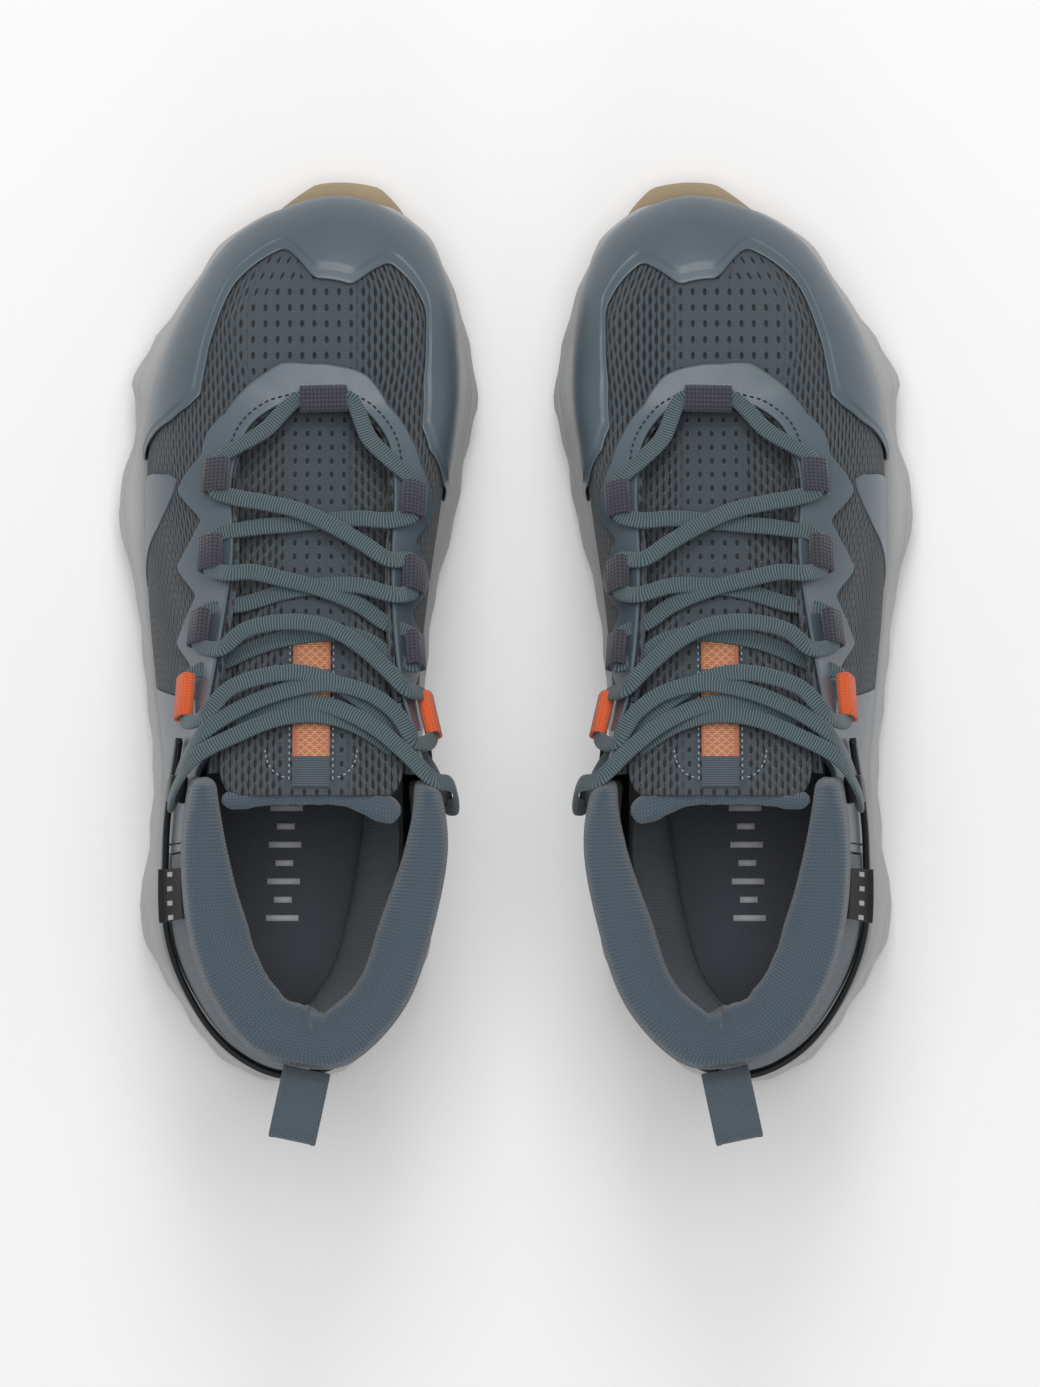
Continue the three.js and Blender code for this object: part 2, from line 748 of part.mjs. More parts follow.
function laceRoute(held) {
  const half = (startsLateral) => {
    const stops = [];
    let crossesOver = startsLateral;
    for (let i = 0; i < rowHolders.length; i++) {
      const lateral = (i % 2 === 0) === startsLateral;
      const sideName = lateral ? "lateral" : "medial";
      const { centre, axis, out } = held[rowHolders[i](sideName)];
      const rear = axis.y < 0 ? axis.clone() : axis.clone().negate();
      const reach = rowLengths[i] / 2 + loopMargin;
      const edge = edgeStations[sideName][i].map((k) => throatEdgeStop(k));
      if (i > 0) {
        const from = stops[stops.length - 1].at;
        for (const u of [0.3, 0.5, 0.7]) {
          stops.push({ at: overTongue(from.clone().lerp(edge[0].at, u), crossesOver), out: tongueNormal });
        }
      }
      stops.push(edge[0]);
      for (const shift of [-reach, 0, reach]) {
        stops.push({ at: centre.clone().addScaledVector(rear, shift), out, tangent: rear });
      }
      if (edge[1]) {
        stops.push(edge[1]);
      }
      crossesOver = lateral;
    }
    const endSide = startsLateral ? "lateral" : "medial";
    for (const [k, t, lift] of hookReturn[endSide]) {
      stops.push({ at: offsetPoint(k, t, lift), out: upperFrame(k, t).out });
    }
    const ends = laceEnds[endSide];
    for (const [x, y] of ends) {
      const at = new THREE.Vector3(x * widthScale, y * lengthScale, 0);
      stops.push({ at: overTongue(at, startsLateral), out: tongueNormal });
    }
    return stops;
  };
  const front = held.front_lace_loop;
  const toLateral = front.axis.x < 0 ? front.axis.clone() : front.axis.clone().negate();
  const tangent = toLateral.clone().negate();
  const reach = frontLoopLength / 2 + 0.3;
  const inLoop = [1, 0, -1].map((sign) => {
    return { at: front.centre.clone().addScaledVector(toLateral, sign * reach), out: front.out, tangent };
  });
  return [...half(true).reverse(), ...inLoop, ...half(false)];
}

// The lace over the eyestay's inner edge at a station.
function throatEdgeStop(k) {
  const at = offsetPoint(k, 0.98, laceEdgeLift);
  return { at, out: upperFrame(k, 0.98).out.add(tongueNormal).normalize() };
}

// Sets a point of the lace on the tongue, or a lift higher where another row lies under it.
function overTongue(point, isOver) {
  const v = (tongueFront.y * lengthScale - point.y) / ((tongueFront.y - tongueTop.y) * lengthScale);
  const surface = tonguePoint(0, v, tongueThickness(v) / 2 + layerGap + stripThickness).z;
  const raised = point.clone();
  raised.z = surface + laceThickness / 2 + laceRest + (isOver ? laceOverLift : 0);
  return raised;
}

// A flat lace: an eight-sided section at each stop of the route, its broad face turned outwards.
function lace(held) {
  const route = laceRoute(held);
  const rings = route.map((stop, i) => {
    const before = route[Math.max(0, i - 1)].at;
    const after = route[Math.min(route.length - 1, i + 1)].at;
    const tangent = stop.tangent ?? after.clone().sub(before).normalize();
    const flow = after.clone().sub(before);
    const heading = tangent.dot(flow) < 0 ? tangent.clone().negate() : tangent;
    const out = stop.out.clone().addScaledVector(heading, -stop.out.dot(heading)).normalize();
    const across = new THREE.Vector3().crossVectors(heading, out);
    const [w, h] = [laceWidth / 2, laceThickness / 2];
    const section = [[-w, -0.4 * h], [-0.7 * w, -h], [0.7 * w, -h], [w, -0.4 * h],
      [w, 0.4 * h], [0.7 * w, h], [-0.7 * w, h], [-w, 0.4 * h]];
    return section.map(([x, z]) => stop.at.clone().addScaledVector(across, x).addScaledVector(out, z));
  });
  return loft(rings);
}

// The heel cradle: a band round the heel whose arms narrow and climb to the strap loops.
const cradleMiddle = [
  [20.55, 0.62], [21.2, 0.5], [22.4, 0.36], [23.4, 0.27], [24.5, 0.2], [26, 0.17], [27.5, 0.2],
  [28.6, 0.27], [29.6, 0.36], [30.8, 0.5], [31.45, 0.62],
];
const cradleHalf = [
  [20.55, 0.018], [22.4, 0.03], [24, 0.085], [26, 0.1], [28, 0.085], [29.6, 0.03], [31.45, 0.018],
];

function heelCradle() {
  const seat = 0.9;
  return panel({
    at: tableSteps(cradleMiddle, 0.5), rows: 1,
    tLow: (k) => valueAt(cradleMiddle, k) - valueAt(cradleHalf, k),
    tHigh: (k) => valueAt(cradleMiddle, k) + valueAt(cradleHalf, k),
    inner: shellOuter + seat, outer: shellOuter + seat + cradleThickness,
  });
}

// The pull loop: webbing folded into a drop shape behind the heel, open from side to side.
const pullLoopTilt = THREE.MathUtils.degToRad(25);
const pullLoopLean = THREE.MathUtils.degToRad(-12);

const pullLoopCorners = 20;
const pullLoopMiddle = 0.55;

function pullLoop() {
  const root = offsetPoint(0, 0.93, 0);
  root.y -= collarSwell + pullLoopGap + webbingThickness / 2;
  const half = pullLoopWidth / 2;
  const thin = webbingThickness / 2;
  const middle = pullLoopLength * pullLoopMiddle;
  const rings = Array.from({ length: pullLoopCorners }, (_, i) => {
    const angle = (2 * Math.PI * i) / pullLoopCorners;
    const back = (pullLoopLength / 2) * (1 - Math.cos(angle));
    const rise = (pullLoopHeight / 2) * Math.sin(angle) * Math.sin(angle / 2);
    return [[-half, -thin], [half, -thin], [half, thin], [-half, thin]].map(([x, shrink]) => {
      const y = middle + (back - middle) * (1 - (shrink * 2) / pullLoopLength);
      const z = rise - Math.sign(rise) * shrink * Math.min(1, Math.abs(rise));
      return new THREE.Vector3(x, -y, z)
        .applyAxisAngle(new THREE.Vector3(1, 0, 0), -pullLoopTilt)
        .applyAxisAngle(new THREE.Vector3(0, 0, 1), pullLoopLean)
        .add(root);
    });
  });
  return loft(rings, true);
}

function sideTag() {
  return panel({
    at: steps(3.08, 3.68, 0.3), rows: 2, tLow: () => 0.52, tHigh: () => 0.7,
    inner: shellOuter + layerGap, outer: shellOuter + layerGap + stripThickness,
  });
}

function finish(color, roughness, metalness = 0) {
  return { color, roughness, metalness };
}

const finishes = {
  outsole: finish(0xa59478, 0.8),
  midsole: finish(0xa5a8aa, 0.65),
  board: finish(0x8a8578, 0.9),
  insole: finish(0x3c3e46, 0.95),
  counter: finish(0x50545a, 0.8),
  mesh: finish(0x4b5256, 0.95),
  smooth: finish(0x55646c, 0.55),
  woven: finish(0x5e686c, 0.9),
  knit: finish(0x465662, 0.95),
  lace: finish(0x506267, 0.9),
  webbing: finish(0x4b4852, 0.9),
  strap: finish(0xe15f2d, 0.8),
  dark: finish(0x191c1e, 0.45),
};

function buildBoot(side) {
  const boot = new THREE.Group();
  const add = (name, geometry, look) => {
    const mesh = new THREE.Mesh(geometry, new THREE.MeshStandardMaterial(finishes[look]));
    mesh.name = `${side}_${name}`;
    boot.add(mesh);
  };
  add("outsole", outsole(), "outsole");
  add("midsole", midsole(), "midsole");
  add("lasting_board", lastingBoard(), "board");
  add("insole", insole(), "insole");
  add("heel_counter", heelCounter(), "counter");
  add("vamp", shellPanel(vampEndLateral, vampEndMedial, 2), "mesh");
  add("lateral_quarter", shellPanel(quarterSeamLateral + seamGap, vampEndLateral - seamGap), "smooth");
  add("medial_quarter", shellPanel(vampEndMedial + seamGap, quarterSeamMedial - seamGap), "smooth");
  add("heel_panel", shellPanel(quarterSeamMedial + seamGap, quarterSeamLateral + stationCount - seamGap), "woven");
  add("toe_cap", toeCap(), "smooth");
  add("eyestay", eyestay(), "smooth");
  add("collar", collar(), "knit");
  add("tongue", tongue(), "mesh");
  add("tongue_strip", tongueStrip(), "webbing");
  const held = {};
  const hold = (places, make, look) => {
    for (const [name, place] of Object.entries(places)) {
      held[name] = make(place);
      add(name, held[name].geometry, look);
    }
  };
  hold({ front_lace_loop: frontLoop, ...laceLoops }, laceLoop, "webbing");
  hold(strapLoops, laceLoop, "strap");
  hold(topHooks, topHook, "dark");
  add("lace", lace(held), "lace");
  add("heel_cradle", heelCradle(), "dark");
  add("pull_loop", pullLoop(), "webbing");
  add("side_tag", sideTag(), "dark");
  return boot;
}

const left = buildBoot("left");
const box = new THREE.Box3().setFromObject(left);
const centreY = (box.min.y + box.max.y) / 2;
const spread = pairGap / 2 + box.max.x;
left.position.set(-spread, -centreY, 0);
const right = buildBoot("right");
right.scale.x = -1;
right.position.set(spread, -centreY, 0);

const pair = new THREE.Group();
pair.add(left, right);
export default pair;
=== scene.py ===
import bmesh
import bpy
import numpy as np
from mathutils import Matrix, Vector


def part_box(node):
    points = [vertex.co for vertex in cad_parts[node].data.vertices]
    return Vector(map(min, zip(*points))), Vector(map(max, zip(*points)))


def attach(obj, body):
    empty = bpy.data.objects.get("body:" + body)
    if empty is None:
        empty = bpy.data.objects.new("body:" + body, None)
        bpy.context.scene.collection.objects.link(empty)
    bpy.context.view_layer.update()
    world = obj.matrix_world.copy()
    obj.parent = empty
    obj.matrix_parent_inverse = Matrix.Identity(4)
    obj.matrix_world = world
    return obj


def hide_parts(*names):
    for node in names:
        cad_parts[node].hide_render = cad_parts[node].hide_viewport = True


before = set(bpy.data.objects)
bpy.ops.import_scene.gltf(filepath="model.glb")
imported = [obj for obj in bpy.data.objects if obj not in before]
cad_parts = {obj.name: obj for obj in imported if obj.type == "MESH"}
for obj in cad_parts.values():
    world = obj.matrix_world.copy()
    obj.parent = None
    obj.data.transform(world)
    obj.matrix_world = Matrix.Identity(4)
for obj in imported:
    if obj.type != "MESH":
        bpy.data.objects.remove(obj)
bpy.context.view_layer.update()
print("frame loaded")

# The tongue's box gives the left boot's place: its middle line and its length are known in the boot's frame.
tongueLow, tongueHigh = (np.array(corner) * 1000 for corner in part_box("left_tongue"))
bootShift = (tongueLow + tongueHigh) / 2 - np.array([-1.5, 167.0, 0])
bootShift[2] = 0


# Small tools.
def lerp(a, b, u):
    return a + (b - a) * u


def smooth(low, high, value):
    u = np.clip((value - low) / (high - low), 0, 1)
    return u * u * (3 - 2 * u)


def unit(v):
    return v / np.maximum(np.linalg.norm(v, axis=-1, keepdims=True), 1e-9)


def around(values, k):
    # closed Catmull-Rom through the table, at station numbers k
    k = np.asarray(k, float)
    base = np.floor(k).astype(int)
    u = k - base
    a, b, c, d = (values[(base + i) % len(values)] for i in (-1, 0, 1, 2))
    return 0.5 * (2 * b + (c - a) * u + (2 * a - 5 * b + 4 * c - d) * u**2 + (3 * b - a - 3 * c + d) * u**3)


def curveTable(table, k):
    # a cubic through [station, value] pairs, with each slope taken from its neighbours
    x, y = np.array(table, float).T
    slope = np.gradient(y, x)
    k = np.clip(np.asarray(k, float), x[0], x[-1])
    i = np.clip(np.searchsorted(x, k) - 1, 0, len(x) - 2)
    h = x[i + 1] - x[i]
    u = (k - x[i]) / h
    return (
        y[i] * (1 + 2 * u) * (1 - u) ** 2
        + slope[i] * h * u * (1 - u) ** 2
        + y[i + 1] * u * u * (3 - 2 * u)
        + slope[i + 1] * h * u * u * (u - 1)
    )


def roundedTable(table, k, soft=0.05):
    # straight lines through [station, value] pairs with their corners averaged over a short reach
    x, y = np.array(table, float).T
    reach = np.linspace(-soft, soft, 9)
    return np.interp(np.asarray(k, float)[..., None] + reach, x, y).mean(-1)


# The boot's shape.
# Stations run heel, lateral side, toe, medial side: sole edge x y, lower edge of the upper x y,
# top edge x y, and the top edge's height from 0 (throat front) to 1 (collar).
last = {
    "stations": np.array([
        [-12, 0, -11, 4, -3, 9.5, 0.9],
        [-33, 8, -29, 12, -21, 15.5, 0.92],
        [-47, 26, -43, 29, -34, 33, 0.95],
        [-58, 48, -52, 51, -41, 55, 0.98],
        [-58, 78, -53, 80, -43, 82, 1],
        [-56.5, 106, -54, 108, -40, 105, 1],
        [-59, 134, -56.5, 134, -36.5, 130, 0.8],
        [-62, 163, -59, 162, -32, 155, 0.6],
        [-67, 196, -60, 192, -28.5, 180, 0.4],
        [-62, 224, -58, 219, -29, 203, 0.215],
        [-59, 246, -52.5, 243, -24, 220, 0.08],
        [-46, 266, -43, 265, -15, 228, 0.015],
        [-28, 289, -26, 288, -6, 230, 0],
        [5, 300, 5, 300, 2, 230.5, 0],
        [32, 292, 30, 291, 9, 230, 0],
        [45, 270, 42, 272, 17, 226, 0.03],
        [52, 242, 45.5, 247, 24, 216, 0.12],
        [50, 218, 44, 222, 26, 200, 0.25],
        [46, 192, 41, 196, 25.5, 178, 0.415],
        [39, 164, 37, 166, 26.5, 155, 0.6],
        [36, 136, 34, 136, 30, 130, 0.8],
        [35, 106, 32, 106, 39, 104, 1],
        [37, 78, 32, 78, 42.5, 81, 1],
        [36, 49, 30, 52, 37.5, 54, 0.98],
        [27, 24, 23, 28, 28.5, 29, 0.95],
        [9, 5, 8, 11, 12, 11.5, 0.92],
    ]),
    "toe": 13,
    "collarHeight": 141,
    "throatHeight": 76,
    "heelStack": 33,
    "forefootStack": 25,
    "toeRise": 7,
    "toeSpring": 16,
    "toeSpringStart": 215,
    "length": 305,
    "heelBevel": 6,
    "heelBevelLength": 25,
    "lugDepth": 4,
    "plate": 3,
}
stationCount = len(last["stations"])
upAxis = np.array([0.0, 0, 1])


def floorHeight(y):
    toe = np.maximum(0, y - last["toeSpringStart"]) / (last["length"] - last["toeSpringStart"])
    heel = np.maximum(0, last["heelBevelLength"] - y) / last["heelBevelLength"]
    return last["toeSpring"] * toe**2 + last["heelBevel"] * heel**2


def featherHeight(y):
    slope = lerp(last["heelStack"], last["forefootStack"], smooth(30, last["toeSpringStart"], y))
    return slope + last["toeRise"] * smooth(last["toeSpringStart"], 315, y)


def column(i, k):
    return around(last["stations"][:, i], k)


def solePoint(k):
    return np.stack([column(0, k), column(1, k)], -1)


def featherPoint(k):
    y = column(3, k)
    return np.stack([column(2, k), y, featherHeight(y)], -1)


def topPoint(k):
    z = lerp(last["throatHeight"], last["collarHeight"], column(6, k))
    return np.stack([column(4, k), column(5, k), z], -1)


def outward(k):
    # level and square to the upper's lower edge
    step = featherPoint(k + 0.3) - featherPoint(k - 0.3)
    return unit(np.stack([-step[..., 1], step[..., 0], 0 * step[..., 0]], -1))


def upperPoint(k, t):
    # cubic curve from the midsole (t 0) to the topline (t 1), leaning far over at the toe
    k, t = np.broadcast_arrays(np.asarray(k, float), np.asarray(t, float))
    low, high, out = featherPoint(k), topPoint(k), outward(k)
    toe = np.clip((last["collarHeight"] - high[..., 2]) / (last["collarHeight"] - last["throatHeight"]), 0, 1)
    rise = (high[..., 2] - low[..., 2])
    second = low + out * lerp(3, 6, toe)[..., None] + upAxis * (lerp(0.42, 0.6, toe) * rise)[..., None]
    third = high + out * lerp(2, 26, toe)[..., None] - upAxis * (lerp(0.37, 0.1, toe) * rise)[..., None]
    t = t[..., None]
    s = 1 - t
    return low * s**3 + second * (3 * s * s * t) + third * (3 * s * t * t) + high * t**3


def upperFrame(k, t):
    # the surface's point and its three directions: along the outline, up the surface, out of it
    k, t = np.broadcast_arrays(np.asarray(k, float), np.asarray(t, float))
    along = unit(upperPoint(k + 0.1, t) - upperPoint(k - 0.1, t))
    up = unit(upperPoint(k, np.minimum(1, t + 0.02)) - upperPoint(k, np.maximum(0, t - 0.02)))
    out = unit(np.cross(up, along))
    return upperPoint(k, t), along, unit(np.cross(along, out)), out


def offsetPoint(k, t, distance):
    point, _, _, out = upperFrame(k, t)
    return point + out * np.asarray(distance, float)[..., None]


# Meshes.
def addMesh(name, points, faces, uvs, material, side, body="boots", replaced=(), slotName=None):
    # points in the left boot's millimetres; the right boot is mirrored and its faces turned
    points = np.asarray(points, float).reshape(-1, 3) + bootShift
    if side == "right":
        points = points * np.array([-1, 1, 1])
    mesh = bpy.data.meshes.new(f"{side}_{name}")
    sizes = np.concatenate([np.full(len(f), f.shape[1]) for f in faces])
    loops = np.concatenate([(f[:, ::-1] if side == "right" else f).ravel() for f in faces])
    loopUvs = np.concatenate([(u[:, ::-1] if side == "right" else u).reshape(-1, 2) for u in uvs])
    mesh.vertices.add(len(points))
    mesh.vertices.foreach_set("co", (points / 1000).astype(np.float32).ravel())
    mesh.loops.add(len(loops))
    mesh.loops.foreach_set("vertex_index", loops.astype(np.int32))
    mesh.polygons.add(len(sizes))
    mesh.polygons.foreach_set("loop_start", np.concatenate([[0], np.cumsum(sizes)[:-1]]).astype(np.int32))
    mesh.polygons.foreach_set("use_smooth", np.ones(len(sizes), bool))
    layer = mesh.uv_layers.new(name="UVMap")
    layer.data.foreach_set("uv", loopUvs.astype(np.float32).ravel())
    mesh.update(calc_edges=True)
    mesh.validate()
    piece = bpy.data.objects.new(f"{side}_{name}", mesh)
    bpy.context.scene.collection.objects.link(piece)
    mesh.materials.append(material)
    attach(piece, body if body == "boots" else f"{side}_{body}")
    if replaced:
        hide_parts(*[f"{side}_{node}" for node in replaced])
    return piece


def gridFaces(points, closeU=False, closeV=False, caps=False, uvOf=None):
    # quads over a grid of points, with UVs in millimetres, either given or from the lengths along both ways
    nu, nv = points.shape[:2]
    wide = np.concatenate([points, points[:1]], 0) if closeU else points
    wide = np.concatenate([wide, wide[:, :1]], 1) if closeV else wide
    if uvOf is None:
        du = np.linalg.norm(np.diff(wide, axis=0), axis=-1).mean(1)
        dv = np.linalg.norm(np.diff(wide, axis=1), axis=-1).mean(0)
        uv = np.stack(np.meshgrid(np.r_[0, np.cumsum(du)], np.r_[0, np.cumsum(dv)], indexing="ij"), -1)
    else:
        uv = uvOf(wide)
    i, j = np.meshgrid(np.arange(len(wide) - 1), np.arange(wide.shape[1] - 1), indexing="ij")
    i, j = i.ravel(), j.ravel()
    corners = [(i, j), (i + 1, j), (i + 1, j + 1), (i, j + 1)]
    faces = [np.stack([(a % nu) * nv + (b % nv) for a, b in corners], -1)]
    uvs = [np.stack([uv[a, b] for a, b in corners], 1)]
    if caps:
        # rungs between the two halves of the first and the last ring
        j = np.arange(nv // 2 - 1)
        rung = np.stack([j, j + 1, nv - 2 - j, nv - 1 - j], -1)
        for row, turned in ((0, False), (nu - 1, True)):
            quad = rung[:, ::-1] if turned else rung
            faces.append(row * nv + quad)
            uvs.append(uv[row][quad])
    return faces, uvs


def facesOut(points, faces):
    # true if the closed shape's faces point outwards, from its signed volume
    p = points.reshape(-1, 3)
    p = p - p.mean(0)
    volume = 0
    for f in faces:
        for n in range(1, f.shape[1] - 1):
            volume += np.einsum("ij,ij->i", p[f[:, 0]], np.cross(p[f[:, n]], p[f[:, n + 1]])).sum()
    return volume > 0


def surface(name, points, material, side, closeU=False, closeV=False, caps=False, uvOf=None, **place):
    faces, uvs = gridFaces(points, closeU, closeV, caps, uvOf)
    if not facesOut(points, faces):
        faces = [f[:, ::-1] for f in faces]
        uvs = [u[:, ::-1] for u in uvs]
    return addMesh(name, points, faces, uvs, material, side, **place)


def girthUv(points):
    # across is x plus the drop down the side wall, along is y, so a pattern wraps evenly over the foot
    x, y, z = points[..., 0] + 6, points[..., 1], points[..., 2]
    crown = np.clip(76 + (229 - y) * 0.5, 62, 141)
    return np.stack([x + np.sign(x) * np.maximum(0, crown - z) * 0.9, y], -1)


def panelRings(k, tLow, tHigh, inner, outer, rows, edge=0.9, raised=None):
    # rings across a panel: the outer face with rounded edges, then the inner face back
    length = np.linalg.norm(upperPoint(k, tHigh) - upperPoint(k, tLow), axis=-1) * 1.12
    length = np.maximum(length, 2.5 * edge)
    near = np.array([0, 0.08, 0.25, 0.5, 0.8, 1.2]) * edge
    middle = np.linspace(0, 1, rows)[1:-1]
    distance = np.concatenate([
        np.broadcast_to(near, (len(k), len(near))),
        1.3 * edge + (length[:, None] - 2.6 * edge) * middle,
        length[:, None] - near[::-1],
    ], 1)
    t = tLow[:, None] + (tHigh - tLow)[:, None] * distance / length[:, None]
    fromEdge = np.minimum(distance, length[:, None] - distance)
    round_ = 1 - np.sqrt(np.maximum(0, 1 - (1 - np.clip(fromEdge / edge, 0, 1)) ** 2))
    lift = outer if raised is None else outer + raised(k[:, None], t, length[:, None] - distance)
    top = lift - (outer - inner) * 0.5 * round_
    front = offsetPoint(k[:, None], t, top)
    back = offsetPoint(k[:, None], t, np.full(t.shape, inner))
    return np.concatenate([front, back[:, ::-1]], 1)


def endsRounded(k, tLow, tHigh, reach=0.06):
    # draws a panel's two ends in a little, so that its corners are round
    fromEnd = np.minimum(k - k[0], k[-1] - k) / reach
    pull = 0.5 * (1 - np.sqrt(np.clip(1 - (1 - np.clip(fromEnd, 0, 1)) ** 2, 0, 1))) * 0.06
    return tLow + pull, tHigh - pull


# Materials.
class Nodes:
    # a short way to write node trees: each call makes a node and returns its output
    def __init__(self, name, roughness=0.6, **sockets):
        self.material = bpy.data.materials.new(name)
        self.material.use_nodes = True
        self.tree = self.material.node_tree
        self.shader = self.tree.nodes["Principled BSDF"]
        self.shader.inputs["Roughness"].default_value = roughness
        for socket, value in sockets.items():
            self.shader.inputs[socket.replace("_", " ")].default_value = value

    def node(self, kind, output=0, props=None, **inputs):
        made = self.tree.nodes.new(kind)
        for key, value in (props or {}).items():
            setattr(made, key, value)
        for key, value in inputs.items():
            socket = made.inputs[int(key[1:])] if key[0] == "i" and key[1:].isdigit() else made.inputs[key]
            if isinstance(value, bpy.types.NodeSocket):
                self.tree.links.new(value, socket)
            else:
                socket.default_value = value
        return made.outputs[output]

    def math(self, operation, a, b=0.0, c=0.0):
        return self.node("ShaderNodeMath", props={"operation": operation}, i0=a, i1=b, i2=c)

    def uv(self):
        split = self.tree.nodes.new("ShaderNodeSeparateXYZ")
        self.tree.links.new(self.node("ShaderNodeUVMap", props={"uv_map": "UVMap"}), split.inputs[0])
        return split.outputs[0], split.outputs[1]

    def objectCoords(self):
        return self.node("ShaderNodeTexCoord", 3)

    def wave(self, value, pitch):
        # a wave from 0 to 1 with the given pitch
        swing = self.math("SINE", self.math("MULTIPLY", value, 2 * np.pi / pitch))
        return self.math("MULTIPLY_ADD", swing, 0.5, 0.5)

    def step(self, value, low, high):
        return self.node("ShaderNodeMapRange", props={"interpolation_type": "SMOOTHSTEP"}, Value=value,
                         i1=low, i2=high, i3=0.0, i4=1.0)

    def mix(self, factor, a, b):
        made = self.tree.nodes.new("ShaderNodeMix")
        made.data_type = "RGBA"
        for index, value in ((0, factor), (6, a), (7, b)):
            if isinstance(value, bpy.types.NodeSocket):
                self.tree.links.new(value, made.inputs[index])
            else:
                made.inputs[index].default_value = value if index == 0 else (*value, 1)
        return made.outputs[2]

    def noise(self, scale, detail=3.0):
        return self.node("ShaderNodeTexNoise", Vector=self.objectCoords(), Scale=scale, Detail=detail)

    def color(self, value):
        self.tree.links.new(value, self.shader.inputs["Base Color"])

    def roughness(self, value):
        self.tree.links.new(value, self.shader.inputs["Roughness"])

    def bump(self, height, distance, strength=1.0):
        out = self.node("ShaderNodeBump", Height=height, Distance=distance, Strength=strength)
        self.tree.links.new(out, self.shader.inputs["Normal"])
        return out


def srgb(red, green, blue):
    c = np.array([red, green, blue]) / 255
    return tuple(np.where(c <= 0.04045, c / 12.92, ((c + 0.055) / 1.055) ** 2.4))


shades = {
    "midsole": srgb(178, 178, 178),
    "overlay": srgb(78, 91, 100),
    "mesh": srgb(74, 84, 91),
    # near-black painted shade for the mesh's drop holes and grooves
    "hole": srgb(14, 17, 20),
    "lace": srgb(80, 98, 103),
    "loop": srgb(62, 62, 72),
    "knit": srgb(80, 96, 110),
    "woven": srgb(84, 95, 104),
    "insole": srgb(87, 90, 98),
    "pull": srgb(78, 91, 102),
    "orange": srgb(226, 98, 48),
    "dustyOrange": srgb(198, 118, 86),
    "tan": srgb(214, 174, 124),
    "outsole": srgb(168, 150, 122),
    "dark": srgb(26, 29, 31),
    "white": srgb(215, 216, 218),
}


def scaled(shade, factor):
    return tuple(c * factor for c in shade)


def smoothOverlay():
    # satin film with a faint grain and a slow change of shade
    n = Nodes("smoothOverlay", 0.38, Specular_IOR_Level=0.55, Coat_Weight=0.25, Coat_Roughness=0.3)
    slow = n.noise(28.0)
    n.color(n.mix(slow, scaled(shades["overlay"], 0.86), scaled(shades["overlay"], 1.16)))
    n.roughness(n.math("MULTIPLY_ADD", n.noise(160.0), 0.14, 0.36))
    n.bump(n.noise(2600.0, 2.0), 0.00006, 0.5)
    return n.material


def engineeredMesh(name="engineeredMesh", sides=(15.0, 27.0), shade=shades["mesh"]):
    # fine upright stitches with columns of drop holes, which double and sink to grooves towards the sides; the holes
    # and the grooves are coloured near black, which is painted shade
    n = Nodes(name, 0.9, Sheen_Weight=0.2, Sheen_Roughness=0.5)
    u, v = n.uv()
    side = n.step(n.math("ABSOLUTE", u), *sides)
    across = n.math("DIVIDE", n.math("ADD", u, n.math("MULTIPLY", n.noise(20.0), 0.9)), 2.05)
    odd = n.math("MODULO", n.math("ADD", n.math("FLOOR", across), 200.0), 2.0)
    fx = n.math("SUBTRACT", n.math("FRACT", across), 0.5)
    fy = n.math("FRACT", n.math("ADD", n.math("DIVIDE", v, 5.4), n.math("MULTIPLY", odd, 0.5)))
    dx = n.math("DIVIDE", fx, 0.33)
    dy = n.math("DIVIDE", n.math("SUBTRACT", fy, 0.5), n.math("MULTIPLY_ADD", side, 0.12, 0.24))
    sideways = n.math("POWER", n.math("ABSOLUTE", dx), 2.0)
    upright = n.math("POWER", n.math("ABSOLUTE", dy), 2.2)
    reach = n.math("ADD", sideways, upright)
    # the drop holes' mask: they get the near-black painted shade and sink in the bump
    hole = n.math("SUBTRACT", 1.0, n.step(reach, 0.5, 1.4))
    shown = n.math("MAXIMUM", n.math("SUBTRACT", 1.0, odd), side)
    hole = n.math("MULTIPLY", n.math("MULTIPLY", hole, shown), 0.92)
    groove = n.math("MULTIPLY", n.math("SUBTRACT", 1.0, n.step(n.math("ABSOLUTE", fx), 0.03, 0.2)), side)
    stitch = n.math("MULTIPLY", n.wave(u, 0.52), n.math("MULTIPLY_ADD", n.wave(v, 0.7), 0.6, 0.4))
    body = n.mix(stitch, scaled(shade, 0.52), scaled(shade, 1.3))
    body = n.mix(n.math("MULTIPLY", n.noise(1400.0, 2.0), 0.5), body, scaled(shade, 1.25))
    # painted shade: the grooves darkened most of the way to the near-black shade colour
    body = n.mix(n.math("MULTIPLY", groove, 0.8), body, shades["hole"])
    # painted shade: the drop holes filled with the near-black shade colour
    n.color(n.mix(hole, body, shades["hole"]))
    depth = n.math("ADD", n.math("MULTIPLY", hole, 1.0), n.math("MULTIPLY", groove, 0.45))
    n.bump(n.math("SUBTRACT", n.math("MULTIPLY", stitch, 0.25), depth), 0.0007, 0.9)
    return n.material


